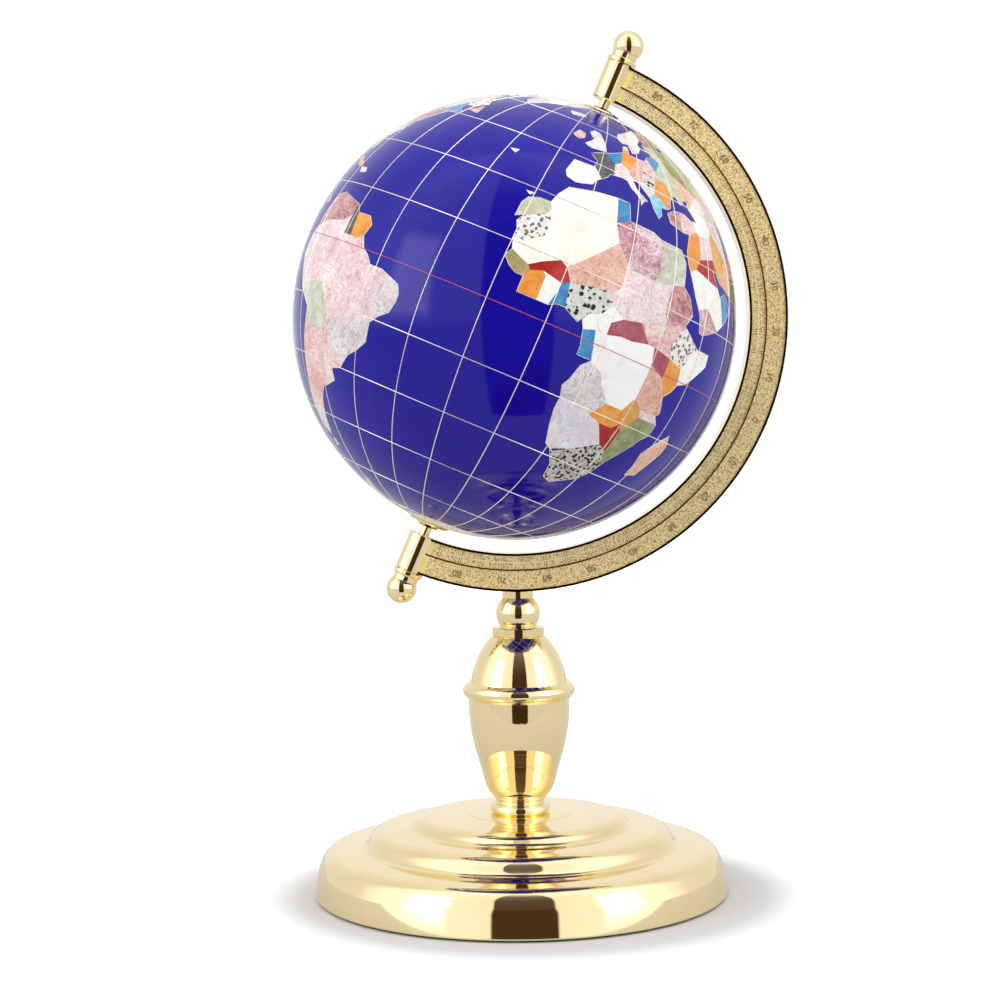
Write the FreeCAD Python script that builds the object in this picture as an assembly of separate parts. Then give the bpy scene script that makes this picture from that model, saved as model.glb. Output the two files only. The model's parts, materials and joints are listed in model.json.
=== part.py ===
import FreeCAD, Part
import math
import os

# Desktop gemstone globe on a turned column and a weighted round base.
# Frame: origin at the centre of the felt under the base, +Z up, +X towards the side the axis leans to.
# All sizes in millimetres, all angles in degrees.

V = FreeCAD.Vector
ORIGIN = V(0, 0, 0)
UP = V(0, 0, 1)

# Globe
GLOBE_R = 75.0            # outside radius of the polished ball
GLOBE_Z = 196.3           # height of its centre
TILT = 23.5               # lean of the spin axis towards +X
FRONT_LONGITUDE = -6.0    # meridian that faces -Y at rest
INLAY_DEPTH = 2.5         # thickness of the resin and of the stones set in it
CORE_WALL = 4.0
CORE_LIP = 2.0            # half of the core wall, overlapped at the equator joint
WIRE_WIDTH = 0.45
WIRE_DEPTH = 0.4
WIRE_PROUD = 0.05
GRATICULE_STEP = 15
WIRE_END_LATITUDE = 84.0

# Poles
DISC_R = 7.1
DISC_T = 1.2
BOSS_R = 3.4
BOSS_T = 0.7
BUSH_FLANGE_R = 6.5
BUSH_FLANGE_T = 1.4
BUSH_R = 4.5
BUSH_END = 64.0           # inner end of a bushing, from the globe's centre
PIN_R = 1.85
PIN_TIP_R = 1.5
PIN_END = 62.0
RUNNING_CLEARANCE = 0.06
SHOULDER_GAP = 0.15
FIT_GAP = 0.05            # room round pieces that are glued in

# Meridian arm and its ends
ARM_IN_R = 79.7
ARM_OUT_R = 92.6
ARM_T = 8.0
ARM_BORDER = 0.8          # width of the raised polished borders
ARM_RIB_R = 85.3          # radius of the raised rib between the two scale bands
ARM_RIB_W = 0.5
ARM_RECESS = 0.35         # depth of the scale bands
BARREL_R = 4.9
FINIAL_COLLAR_R = 5.1
FINIAL_COLLAR_T = 1.8
FINIAL_NECK_R = 4.3
FINIAL_BALL_R = 5.2
FINIAL_BALL_T = 99.4      # distance of the ball's centre from the globe's centre
PIN_IN_FINIAL = 4.0

# Base and column
BASE_R = 70.6             # radius of the rim at the bottom
RIM_TOP_R = 69.7          # the rim leans in as it rises
RIM_TOP_Z = 9.7
BASE_TOP_Z = 27.5
BASE_SKIN = 1.3
RIM_Z = 0.6
FELT_T = 2.2
ROD_R = 3.0
ROD_HOLE_R = 3.2
ROD_BOTTOM_Z = 2.6
ROD_IN_ARM = 7.0
NUT_FLATS = 10.0
NUT_TOP_Z = 6.4
WASHER_R = 9.0
WASHER_TOP_Z = 8.0
NUT_POCKET_R = 11.0
FOOT_TOP_Z = 33.3
CUP_TOP_Z = 66.9
BELT_TOP_Z = 72.6
DOME_TOP_Z = 88.2
COLLAR_TOP_Z = 91.5
COLUMN_WALL = 2.0
COLUMN_BALL_R = 7.5
COLUMN_BALL_Z = 96.1
SEAT_R = 5.3              # neck on which the arm rests

GLOBE_CENTRE = V(0, 0, GLOBE_Z)
POLE_FLAT = math.sqrt(GLOBE_R ** 2 - DISC_R ** 2)
ARM_BOTTOM_Z = GLOBE_Z - ARM_OUT_R

# Outlines of the stone fields: (longitude, latitude) of the corners, joined by great circles.
CONTINENTS = {
    "stone_africa": [
        (-6, 35.8), (3, 36.8), (10.5, 37.2), (11, 34), (15.5, 32), (20, 31.5), (23, 32.5), (29, 31), (32.5, 31),
        (35, 28), (37.5, 21), (39.5, 15.5), (43, 11.6), (51, 11.8), (49, 6), (42.5, -1), (39.5, -5), (40.5, -14),
        (35.5, -20), (35.4, -24), (32.5, -27), (28, -33), (20, -34.8), (18, -32), (14.5, -23), (12, -16),
        (13.5, -9), (9, -1), (9.5, 4), (5, 5.5), (-2, 5), (-8, 4.5), (-13, 8.5), (-17, 14.5), (-16.5, 20.5),
        (-13, 27.5), (-9.5, 31.5)],
    "stone_south_america": [
        (-77.5, 8.5), (-72, 12), (-62, 10.6), (-52, 5), (-50, 0), (-44, -2.5), (-35, -5.5), (-35, -9),
        (-39, -14), (-40.5, -21.5), (-48, -25.5), (-53.5, -33.5), (-58, -38.5), (-65, -42), (-68.5, -50),
        (-68.5, -54.5), (-73.5, -51), (-74, -42), (-71.5, -30), (-70.3, -18.5), (-76, -14), (-81, -5.5),
        (-80, 0), (-77.5, 4)],
    "stone_north_america": [
        (-80, 9), (-83.5, 11), (-83.5, 15.5), (-88.5, 16), (-87, 21.3), (-91, 19), (-95, 18.5), (-97.5, 22.5),
        (-97, 27.5), (-90, 29.5), (-83, 29.5), (-81, 25.5), (-80.5, 31), (-76, 35.5), (-70.5, 42), (-61, 46),
        (-66, 49.5), (-56, 52.5), (-64.5, 60), (-72, 62), (-78, 58.5), (-80, 52.5), (-88, 56.5), (-94.5, 59.5),
        (-85, 66), (-82, 69.5), (-95, 71.5), (-115, 69.5), (-128, 70.5), (-156, 71.3), (-166, 68.5), (-162, 65),
        (-165.5, 61.5), (-160, 58.5), (-152, 59.5), (-138, 59.3), (-128, 51), (-124, 47), (-124, 40),
        (-117, 32.5), (-110, 23), (-105.5, 20.5), (-95, 16), (-88, 13), (-83.5, 8.7)],
    "stone_greenland": [
        (-45, 60), (-52.5, 65), (-54, 70), (-60, 76), (-70, 77.5), (-62, 81.5), (-33, 83.3), (-18, 80),
        (-20, 73.5), (-25, 70), (-38, 65.5)],
    "stone_eurasia": [
        (-9, 37), (-9, 43.3), (-1.5, 43.5), (-4.5, 48.3), (2, 51), (8, 53.8), (8.5, 57), (10.5, 56), (11, 54),
        (19, 54.5), (21, 57), (28.5, 59.5), (22, 60), (21.5, 63), (25, 65.5), (18, 62), (17, 58), (13, 55.5),
        (10.5, 59.5), (5.3, 60), (6, 62.5), (14, 68), (26, 71), (40, 67.5), (38, 64.5), (45, 68), (60, 69),
        (68, 68.5), (70, 73), (80, 73), (104, 77.5), (113, 74), (140, 72.5), (160, 69.8), (179, 69), (190, 66.2),
        (179, 62.5), (170, 60), (163, 58), (157, 51), (156, 58), (162, 62), (150, 59.5), (137, 54), (141, 51.5),
        (140, 48.5), (133, 43), (129.5, 41), (129.3, 36), (126.3, 34.8), (125, 39.5), (121.5, 39.5), (118, 39),
        (122, 37), (119.5, 35), (122, 30.5), (120, 26), (114, 22.3), (108.5, 21.5), (106, 18.5), (109, 12),
        (105, 9), (101, 13), (99.5, 9.5), (104, 1.5), (101, 3), (98.5, 8), (97, 16.5), (94.5, 16), (91.5, 22.5),
        (87, 21.5), (80.3, 15.5), (80, 12), (77.5, 8), (73, 17), (72.5, 21), (67, 25), (57, 25.5), (50, 30),
        (48.5, 29.5), (51.5, 25), (56, 25), (59.5, 22.5), (55, 17.5), (45, 12.8), (43, 13), (39, 21), (35, 28.5),
        (34.5, 31.5), (36, 36.5), (30.5, 36.5), (27, 37), (26.5, 39.5), (29, 41.2), (35, 42), (41.5, 41.5),
        (37.5, 44.7), (39, 47.2), (35, 46.2), (33.5, 44.6), (30.5, 46.3), (28.5, 43.5), (28.3, 41.6),
        (26.5, 40.6), (24, 40.6), (24, 38), (22.5, 36.5), (19.5, 41), (14, 45), (12.5, 44.5), (16, 41.8),
        (18.4, 40), (16, 38), (15.6, 40), (12, 42), (8.8, 44.3), (4, 43.3), (3.2, 42), (0, 39.5), (-2, 36.8),
        (-5.5, 36.2)],
    "stone_australia": [
        (114, -22), (122, -18), (129, -15), (136.5, -12.2), (135.8, -15), (140.5, -17.5), (142.5, -10.8),
        (146, -19), (153, -26), (151, -33.5), (147, -38.5), (140.5, -38), (136, -34.5), (129, -31.7),
        (118, -34.8), (115, -33.5)],
    "stone_antarctica": [
        (0, -70), (30, -69), (55, -66.5), (85, -67), (110, -66), (140, -67), (165, -71), (170, -78), (195, -79),
        (215, -77), (235, -74), (260, -73), (285, -72), (296, -64.5), (300, -74), (315, -78), (330, -76),
        (345, -71)],
}
ISLANDS = {
    "madagascar": [(49.3, -12), (50, -16), (47, -25), (43.8, -23.5), (44.5, -16.5)],
    "britain": [(-5.5, 50.2), (1.2, 51.3), (0, 53), (-2, 57.5), (-5, 58.5), (-4.5, 54)],
    "ireland": [(-9.8, 51.7), (-6, 52.2), (-6, 55), (-9.5, 54)],
    "iceland": [(-23.5, 65.5), (-16, 66.3), (-14, 64.8), (-21, 63.5)],
    "svalbard": [(12, 79.5), (26, 80.2), (18, 76.8)],
    "novaya_zemlya": [(52, 71.2), (57, 74.5), (68, 76.8), (58, 72)],
    "sri_lanka": [(80, 9.5), (81.8, 7), (80.2, 6)],
    "sumatra": [(95.5, 5.5), (106, -3.5), (104.8, -5.8), (98.5, 0.8)],
    "java": [(105.3, -6.3), (114, -7.2), (114, -8.5), (106.5, -7.5)],
    "borneo": [(109.2, 1.5), (116.8, 7), (118.5, 1.2), (115.5, -3.8), (110.2, -2.8)],
    "sulawesi": [(119, -5), (120, 1), (125, 1.3), (121.5, -1.2), (122.5, -4.8)],
    "luzon": [(120.4, 18), (122.2, 18.4), (124, 13), (120.8, 13.8)],
    "mindanao": [(122.2, 7.8), (125.5, 9.6), (126.3, 6.8), (124, 6)],
    "new_guinea": [(131, -0.8), (138, -1.6), (147.5, -6.2), (150.5, -10.4), (143, -9), (138, -8.2), (132.8, -4)],
    "japan": [(130, 32), (131, 34.3), (138, 37.5), (141, 41.3), (142, 39), (140.5, 35.5), (135.5, 33.8)],
    "hokkaido": [(140.2, 42), (142, 45.3), (145.2, 43.2)],
    "sakhalin": [(142.2, 46.5), (142.6, 53.5), (143.8, 50)],
    "taiwan": [(120.2, 23), (121.6, 25.2), (121, 22.2)],
    "new_zealand_north": [(173, -34.8), (178.3, -37.8), (175.2, -41.5), (174.2, -38.8)],
    "new_zealand_south": [(172.8, -40.6), (174.2, -41.8), (170.5, -46), (166.6, -46)],
    "tasmania": [(144.8, -40.8), (148.2, -41), (147, -43.5)],
    "cuba": [(-84.8, 22), (-80, 23), (-74.3, 20.2), (-77.5, 20)],
    "hispaniola": [(-74, 19.8), (-68.6, 18.8), (-72, 18.1)],
    "newfoundland": [(-59.2, 47.8), (-55.8, 51.4), (-53, 47.2)],
    "baffin": [(-65, 62.5), (-62, 66.5), (-72, 71.5), (-85, 73.5), (-89, 71.5), (-74, 66.5), (-77, 64.8)],
    "victoria": [(-105, 69), (-104.5, 73), (-117, 73.3), (-117, 69.8)],
    "ellesmere": [(-79, 76.3), (-63.5, 82.3), (-88, 81.8), (-88, 77.5)],
    "banks": [(-124.5, 71.8), (-118, 73.8), (-124, 74.2)],
    "tierra_del_fuego": [(-70.5, -53.6), (-66.2, -54.8), (-70, -55.4)],
}


def edges_of(start, steps):
    """Edges in the XZ plane. A step is (r, z), an arc (r, z through, r, z end) or a list for a spline."""
    here = V(start[0], 0, start[1])
    edges = []
    for step in steps:
        if isinstance(step, list):
            curve = Part.BSplineCurve()
            curve.interpolate([here] + [V(r, 0, z) for r, z in step])
            end = V(step[-1][0], 0, step[-1][1])
        elif len(step) == 4:
            end = V(step[2], 0, step[3])
            curve = Part.Arc(here, V(step[0], 0, step[1]), end)
        else:
            end = V(step[0], 0, step[1])
            curve = Part.LineSegment(here, end)
        edges.append(curve.toShape())
        here = end
    return edges


def lathe(start, *steps):
    """Turned solid: a closed outline of radius and height, revolved about Z."""
    wire = Part.Wire(edges_of(start, list(steps) + [start]))
    return Part.Face(wire).revolve(ORIGIN, UP, 360)


def tube(r_in, r_out, z_low, z_high):
    body = Part.makeCylinder(r_out, z_high - z_low, V(0, 0, z_low))
    if r_in > 0:
        body = body.cut(Part.makeCylinder(r_in, z_high - z_low, V(0, 0, z_low)))
    return body


def on_globe(shape, side=1):
    """Place a shape drawn with the globe's centre at the origin and its pole on +Z."""
    placed = shape.copy()
    if side < 0:
        placed.rotate(ORIGIN, V(1, 0, 0), 180)
    placed.rotate(ORIGIN, V(0, 1, 0), TILT)
    placed.translate(GLOBE_CENTRE)
    return placed


def save(name, shape):
    if not shape.isValid() or shape.Volume <= 0:
        raise ValueError(name + " is not a valid solid")
    shape.exportStep("parts/" + name + ".step")
    print(name, len(shape.Solids), "solids", round(shape.Volume, 1), "mm3")


# ---------------------------------------------------------------- base

def base_shell():
    """Terraced cover, turned from brass: three treads with rounded risers and a rim that leans in a little."""
    skin = BASE_SKIN
    return lathe(
        (ROD_HOLE_R, BASE_TOP_Z), (17.0, BASE_TOP_Z), (17.5, 27.15, 18.0, BASE_TOP_Z - 0.05),
        (27.0, 27.6, 34.2, 26.5), (36.7, 25.2, 37.8, 22.9),
        (44.0, 23.3, 49.2, 22.1), (52.2, 20.3, 53.5, 16.5),
        (60.0, 17.1, 65.4, 15.7), (68.6, 13.4, RIM_TOP_R, RIM_TOP_Z),
        (BASE_R, RIM_Z), (BASE_R - skin, RIM_Z), (RIM_TOP_R - skin, RIM_TOP_Z - 0.3),
        (64.8, 14.0), (52.4, 15.0), (48.4, 20.7), (36.8, 21.4), (33.6, 25.2),
        (17.5, 25.6), (ROD_HOLE_R, 25.6))


def base_ballast():
    """Cast weight that fills the cover and stands up to its crown as a hub."""
    return lathe(
        (ROD_HOLE_R, WASHER_TOP_Z), (ROD_HOLE_R, 25.6), (14.0, 25.6), (16.0, 20.0), (34.0, 19.0), (36.0, 14.0),
        (62.0, 12.5), (67.4, 8.5), (67.4, FELT_T), (NUT_POCKET_R, FELT_T), (NUT_POCKET_R, WASHER_TOP_Z))


def tie_rod_nut():
    corner_r = NUT_FLATS / 2 / math.cos(math.radians(30))
    corners = [V(corner_r * math.cos(math.radians(60 * i)), corner_r * math.sin(math.radians(60 * i)),
                 ROD_BOTTOM_Z + 0.4) for i in range(7)]
    prism = Part.Face(Part.makePolygon(corners)).extrude(V(0, 0, NUT_TOP_Z - ROD_BOTTOM_Z - 0.4))
    return prism.cut(Part.makeCylinder(ROD_R, NUT_TOP_Z))


# ---------------------------------------------------------------- column

def column_foot():
    """Beaded ring and waist between the base and the cup."""
    return lathe(
        (ROD_HOLE_R, BASE_TOP_Z), (9.3, BASE_TOP_Z), (10.3, 29.2, 9.2, 30.9), (8.6, 31.1),
        (8.3, 31.8, 8.7, 32.5), (9.1, 32.9, 9.0, FOOT_TOP_Z), (ROD_HOLE_R, FOOT_TOP_Z))


def column_cup():
    """Hollow tapering cup."""
    wall = COLUMN_WALL
    return lathe(
        (ROD_HOLE_R, FOOT_TOP_Z), (9.2, FOOT_TOP_Z),
        [(10.9, 35.4), (12.95, 41.5), (15.3, 49.7), (16.85, 57.8), (17.2, CUP_TOP_Z)],
        (17.2 - wall, CUP_TOP_Z),
        [(16.85 - wall, 57.8), (15.3 - wall, 49.7), (12.95 - wall, 41.5), (9.2 - wall, 36.0)],
        (ROD_HOLE_R, 36.0))


def column_belt():
    """Ring bead that joins the cup to the dome, with a centring web."""
    middle = (CUP_TOP_Z + BELT_TOP_Z) / 2
    return lathe(
        (ROD_HOLE_R, CUP_TOP_Z), (17.6, CUP_TOP_Z), (18.1, 67.6), (19.2, middle + 0.2, 18.0, 72.0),
        (17.2, BELT_TOP_Z), (ROD_HOLE_R, BELT_TOP_Z))


def column_dome():
    """Hollow egg-shaped cap."""
    wall = COLUMN_WALL
    return lathe(
        (16.5, BELT_TOP_Z), [(15.7, 76.3), (14.3, 80.5), (11.9, 84.9), (9.2, DOME_TOP_Z)],
        (ROD_HOLE_R, DOME_TOP_Z), (ROD_HOLE_R, DOME_TOP_Z - wall), (8.0, DOME_TOP_Z - wall),
        [(10.1, 83.6), (12.3, 79.8), (13.9, 75.6), (14.5, BELT_TOP_Z)])


def column_collar():
    edge = 0.4
    return lathe(
        (ROD_HOLE_R, DOME_TOP_Z), (8.85 - edge, DOME_TOP_Z), (8.85, DOME_TOP_Z + edge),
        (8.85, COLLAR_TOP_Z - edge), (8.85 - edge, COLLAR_TOP_Z), (ROD_HOLE_R, COLLAR_TOP_Z))


def column_ball():
    """Ball with a waist below and a neck above, hollowed to the round of the arm that rests on it."""
    waist_r = 6.3
    waist_top = COLUMN_BALL_Z - math.sqrt(COLUMN_BALL_R ** 2 - waist_r ** 2)
    seat_low = COLUMN_BALL_Z + math.sqrt(COLUMN_BALL_R ** 2 - SEAT_R ** 2)
    seat_high = ARM_BOTTOM_Z + 1.0
    blank = lathe(
        (ROD_R, COLLAR_TOP_Z), (7.2, COLLAR_TOP_Z), (waist_r, COLLAR_TOP_Z + 0.4), (waist_r, waist_top),
        (COLUMN_BALL_R, COLUMN_BALL_Z, SEAT_R, seat_low), (SEAT_R, seat_high), (ROD_R, seat_high))
    arm_round = Part.makeCylinder(ARM_OUT_R, 40, V(0, -20, GLOBE_Z), V(0, 1, 0))
    return blank.cut(arm_round)


# ---------------------------------------------------------------- meridian arm

def meridian_arm():
    """Half ring with two recessed scale bands on each face, saddled on the barrels at both ends."""
    half = ARM_T / 2
    low = half - ARM_RECESS
    side = [
        (ARM_IN_R, half), (ARM_IN_R + ARM_BORDER, half), (ARM_IN_R + ARM_BORDER, low),
        (ARM_RIB_R - ARM_RIB_W / 2, low), (ARM_RIB_R - ARM_RIB_W / 2, half),
        (ARM_RIB_R + ARM_RIB_W / 2, half), (ARM_RIB_R + ARM_RIB_W / 2, low),
        (ARM_OUT_R - ARM_BORDER, low), (ARM_OUT_R - ARM_BORDER, half), (ARM_OUT_R, half)]
    outline = [V(r, y, 0) for r, y in side] + [V(r, -y, 0) for r, y in reversed(side)]
    section = Part.Face(Part.makePolygon(outline + outline[:1]))
    ring = section.revolve(ORIGIN, V(0, 1, 0), 180)
    ring.rotate(ORIGIN, V(0, 1, 0), TILT - 90)
    ring.translate(GLOBE_CENTRE)
    for side_sign in (1, -1):
        ring = ring.cut(on_globe(tube(0, BARREL_R, ARM_IN_R - 2, ARM_OUT_R + 2), side_sign))
    rod_hole = Part.makeCylinder(ROD_R, ROD_IN_ARM + 2, V(0, 0, ARM_BOTTOM_Z - 2))
    return ring.cut(rod_hole)


def pivot_barrel():
    edge = 0.3
    low = ARM_IN_R - 0.1
    high = ARM_OUT_R + 0.1
    return lathe(
        (PIN_R, low), (BARREL_R - edge, low), (BARREL_R, low + edge), (BARREL_R, high - edge),
        (BARREL_R - edge, high), (PIN_R, high))


def finial():
    """Ball nut: a rounded collar, a neck ring and a ball, bored blind for the pin."""
    low = ARM_OUT_R + 0.1
    collar_top = low + FINIAL_COLLAR_T
    neck_low = FINIAL_BALL_T - math.sqrt(FINIAL_BALL_R ** 2 - FINIAL_NECK_R ** 2)
    ball_top = FINIAL_BALL_T + FINIAL_BALL_R
    bore_top = low + PIN_IN_FINIAL
    edge = 0.4
    return lathe(
        (PIN_R, low), (FINIAL_COLLAR_R - edge, low), (FINIAL_COLLAR_R, low + edge),
        (FINIAL_COLLAR_R, collar_top - edge), (FINIAL_COLLAR_R - edge, collar_top),
        (FINIAL_NECK_R, collar_top + 0.3), (FINIAL_NECK_R, neck_low),
        (FINIAL_BALL_R, FINIAL_BALL_T, 0, ball_top), (0, bore_top), (PIN_R, bore_top))


def pivot_pin():
    """Steel pin: clamped by the finial, shouldered outside the pole disc, with a thin tip in the bushing."""
    shoulder = POLE_FLAT + DISC_T + BOSS_T + SHOULDER_GAP
    top = ARM_OUT_R + 0.1 + PIN_IN_FINIAL
    tip_edge = 0.3
    return lathe(
        (0, PIN_END), (PIN_TIP_R - tip_edge, PIN_END), (PIN_TIP_R, PIN_END + tip_edge), (PIN_TIP_R, shoulder),
        (PIN_R, shoulder), (PIN_R, top), (0, top))


# ---------------------------------------------------------------- globe

def pole_disc():
    bore = PIN_TIP_R + RUNNING_CLEARANCE
    top = POLE_FLAT + DISC_T
    return lathe(
        (bore, POLE_FLAT), (DISC_R - 0.3, POLE_FLAT), (DISC_R, POLE_FLAT + 0.4), (DISC_R - 0.4, top - 0.3),
        (BOSS_R + 0.8, top), (BOSS_R, top + BOSS_T), (bore, top + BOSS_T))


def pole_bushing():
    bore = PIN_TIP_R + RUNNING_CLEARANCE
    flange_low = POLE_FLAT - BUSH_FLANGE_T
    return lathe(
        (bore, BUSH_END), (BUSH_R, BUSH_END), (BUSH_R, flange_low), (BUSH_FLANGE_R, flange_low),
        (BUSH_FLANGE_R, POLE_FLAT), (bore, POLE_FLAT))


def polar_pockets():
    """Room at one pole for the bushing and the disc that covers it."""
    pocket_r = BUSH_FLANGE_R + FIT_GAP
    return tube(0, BUSH_R + FIT_GAP, BUSH_END - 1, GLOBE_R + 1).fuse([
        tube(0, pocket_r, POLE_FLAT - BUSH_FLANGE_T, GLOBE_R + 1),
        tube(0, DISC_R + FIT_GAP, POLE_FLAT, GLOBE_R + 1)])


def hollow_ball(r_in, r_out):
    ball = Part.makeSphere(r_out).cut(Part.makeSphere(r_in))
    pocket = polar_pockets()
    south_pocket = pocket.copy()
    south_pocket.rotate(ORIGIN, V(1, 0, 0), 180)
    return ball.cut(pocket).cut(south_pocket)


def core_half(side):
    """Moulded half of the core; the north half laps inside the south half at the equator."""
    r_out = GLOBE_R - INLAY_DEPTH - FIT_GAP
    r_in = r_out - CORE_WALL
    r_middle = r_out - CORE_LIP
    lap = 3.0
    ball = hollow_ball(r_in, r_out)
    if side > 0:
        above = tube(0, r_out + 1, 0, r_out + 1)
        inner_lap = tube(0, r_middle - FIT_GAP, -lap, 0.01)
        return ball.common(above.fuse(inner_lap))
    below = tube(0, r_out + 1, -r_out - 1, 0)
    room = tube(0, r_middle, -lap - FIT_GAP, 0.01)
    return ball.common(below).cut(room)


def globe_point(longitude, latitude, radius):
    turn = math.radians(longitude - FRONT_LONGITUDE - 90)
    rise = math.radians(latitude)
    return V(radius * math.cos(rise) * math.cos(turn), radius * math.cos(rise) * math.sin(turn),
             radius * math.sin(rise))


def fence(outline):
    """Flat walls through the globe's centre that follow an outline and cross the inlay layer."""
    near = GLOBE_R - INLAY_DEPTH - 3
    far = GLOBE_R + 6
    walls = []
    for first, second in zip(outline, outline[1:] + outline[:1]):
        corners = [globe_point(*first, near), globe_point(*second, near),
                   globe_point(*second, far), globe_point(*first, far)]
        walls.append(Part.Face(Part.makePolygon(corners + corners[:1])))
    return Part.Shell(walls)


def inlay_layer():
    """Split the layer on the core into the stone fields, the islands and the ocean left between them."""
    layer = hollow_ball(GLOBE_R - INLAY_DEPTH, GLOBE_R)
    fields = {}
    islands = []
    for name, outline in list(CONTINENTS.items()) + list(ISLANDS.items()):
        pieces = layer.generalFuse([fence(outline)])[0].Solids
        pieces.sort(key=lambda piece: piece.Volume)
        if name in CONTINENTS:
            fields[name] = pieces[0]
        else:
            islands.append(pieces[0])
        layer = pieces[-1]
    fields["stone_islands"] = Part.Compound(islands)
    fields["ocean_resin"] = layer
    return fields


def wire_band(latitude):
    """Ring wire let into the surface along a parallel."""
    half_angle = math.degrees(WIRE_WIDTH / 2 / GLOBE_R)
    corners = []
    for radius, step in ((GLOBE_R - WIRE_DEPTH, -1), (GLOBE_R + WIRE_PROUD, -1),
                         (GLOBE_R + WIRE_PROUD, 1), (GLOBE_R - WIRE_DEPTH, 1)):
        angle = math.radians(latitude + step * half_angle)
        corners.append((radius * math.cos(angle), radius * math.sin(angle)))
    return lathe(corners[0], *corners[1:])


def meridian_wires():
    """Wires let into the surface along the meridians, from disc to disc."""
    half = WIRE_WIDTH / 2
    section = Part.Face(Part.makePolygon([
        V(GLOBE_R - WIRE_DEPTH, -half, 0), V(GLOBE_R + WIRE_PROUD, -half, 0),
        V(GLOBE_R + WIRE_PROUD, half, 0), V(GLOBE_R - WIRE_DEPTH, half, 0), V(GLOBE_R - WIRE_DEPTH, -half, 0)]))
    section.rotate(ORIGIN, V(0, 1, 0), WIRE_END_LATITUDE)
    wire = section.revolve(ORIGIN, V(0, 1, 0), -2 * WIRE_END_LATITUDE)
    wires = []
    for longitude in range(0, 360, GRATICULE_STEP):
        copy = wire.copy()
        copy.rotate(ORIGIN, UP, longitude - FRONT_LONGITUDE - 90)
        wires.append(copy)
    return Part.Compound(wires)


def parallel_wires():
    bands = []
    for latitude in range(GRATICULE_STEP, 90, GRATICULE_STEP):
        bands += [wire_band(latitude), wire_band(-latitude)]
    return Part.Compound(bands)


def main():
    os.makedirs("parts", exist_ok=True)

    save("base_shell", base_shell())
    save("base_ballast", base_ballast())
    save("base_felt_pad", tube(0, BASE_R - BASE_SKIN - 0.1, 0, FELT_T))
    save("base_washer", tube(ROD_HOLE_R, WASHER_R, NUT_TOP_Z, WASHER_TOP_Z))
    save("tie_rod_nut", tie_rod_nut())
    save("tie_rod", tube(0, ROD_R, ROD_BOTTOM_Z, ARM_BOTTOM_Z + ROD_IN_ARM - 0.5))

    save("column_foot", column_foot())
    save("column_cup", column_cup())
    save("column_belt", column_belt())
    save("column_dome", column_dome())
    save("column_collar", column_collar())
    save("column_ball", column_ball())
    save("meridian_arm", meridian_arm())

    for name, side in (("upper", 1), ("lower", -1)):
        save(name + "_pivot_barrel", on_globe(pivot_barrel(), side))
        save(name + "_finial", on_globe(finial(), side))
        save(name + "_pivot_pin", on_globe(pivot_pin(), side))
        save(name + "_pole_disc", on_globe(pole_disc(), side))
        save(name + "_bushing", on_globe(pole_bushing(), side))

    save("globe_core_north", on_globe(core_half(1)))
    save("globe_core_south", on_globe(core_half(-1)))
    for name, shape in inlay_layer().items():
        save(name, on_globe(shape))
    save("meridian_wires", on_globe(meridian_wires()))
    save("parallel_wires", on_globe(parallel_wires()))
    save("equator_wire", on_globe(wire_band(0)))


main()
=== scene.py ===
import json
import math
import random

import bpy
from mathutils import Matrix, Vector
from mathutils.geometry import delaunay_2d_cdt


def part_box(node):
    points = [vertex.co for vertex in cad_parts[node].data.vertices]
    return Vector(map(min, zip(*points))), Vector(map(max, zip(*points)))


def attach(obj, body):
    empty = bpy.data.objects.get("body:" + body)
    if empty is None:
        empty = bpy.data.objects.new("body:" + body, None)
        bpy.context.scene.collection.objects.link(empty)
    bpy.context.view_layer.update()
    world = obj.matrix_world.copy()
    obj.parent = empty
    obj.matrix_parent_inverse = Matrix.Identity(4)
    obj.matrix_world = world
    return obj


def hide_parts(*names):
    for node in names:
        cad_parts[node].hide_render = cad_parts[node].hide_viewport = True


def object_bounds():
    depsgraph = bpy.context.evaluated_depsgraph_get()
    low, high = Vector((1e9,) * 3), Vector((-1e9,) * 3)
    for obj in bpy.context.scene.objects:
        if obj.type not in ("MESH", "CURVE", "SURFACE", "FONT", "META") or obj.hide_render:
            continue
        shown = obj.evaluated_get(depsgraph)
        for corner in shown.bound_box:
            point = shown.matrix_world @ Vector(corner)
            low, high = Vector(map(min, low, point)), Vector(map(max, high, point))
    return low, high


# Desktop gemstone globe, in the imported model's frame. Lengths are in metres, places on the ball in degrees.
MM = 0.001
random.seed(7)

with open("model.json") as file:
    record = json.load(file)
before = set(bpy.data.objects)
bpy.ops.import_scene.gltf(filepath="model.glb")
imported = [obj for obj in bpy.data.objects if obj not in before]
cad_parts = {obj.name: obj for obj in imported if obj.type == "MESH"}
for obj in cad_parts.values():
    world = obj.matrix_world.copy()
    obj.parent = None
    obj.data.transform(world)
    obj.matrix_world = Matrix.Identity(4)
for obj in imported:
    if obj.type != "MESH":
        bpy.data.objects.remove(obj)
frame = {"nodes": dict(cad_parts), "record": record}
cad_low, cad_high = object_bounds()
nodes = frame["nodes"]

SPIN = frame["record"]["behaviour"]["joints"][0]
CENTRE = Vector(SPIN["pos_m"])
AXIS = Vector(SPIN["axis"]).normalized()
TILT = math.atan2(AXIS.x, AXIS.z)     # in radians
TO_ROW = Matrix.Translation(CENTRE) @ Matrix.Rotation(TILT, 4, "Y")

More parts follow.
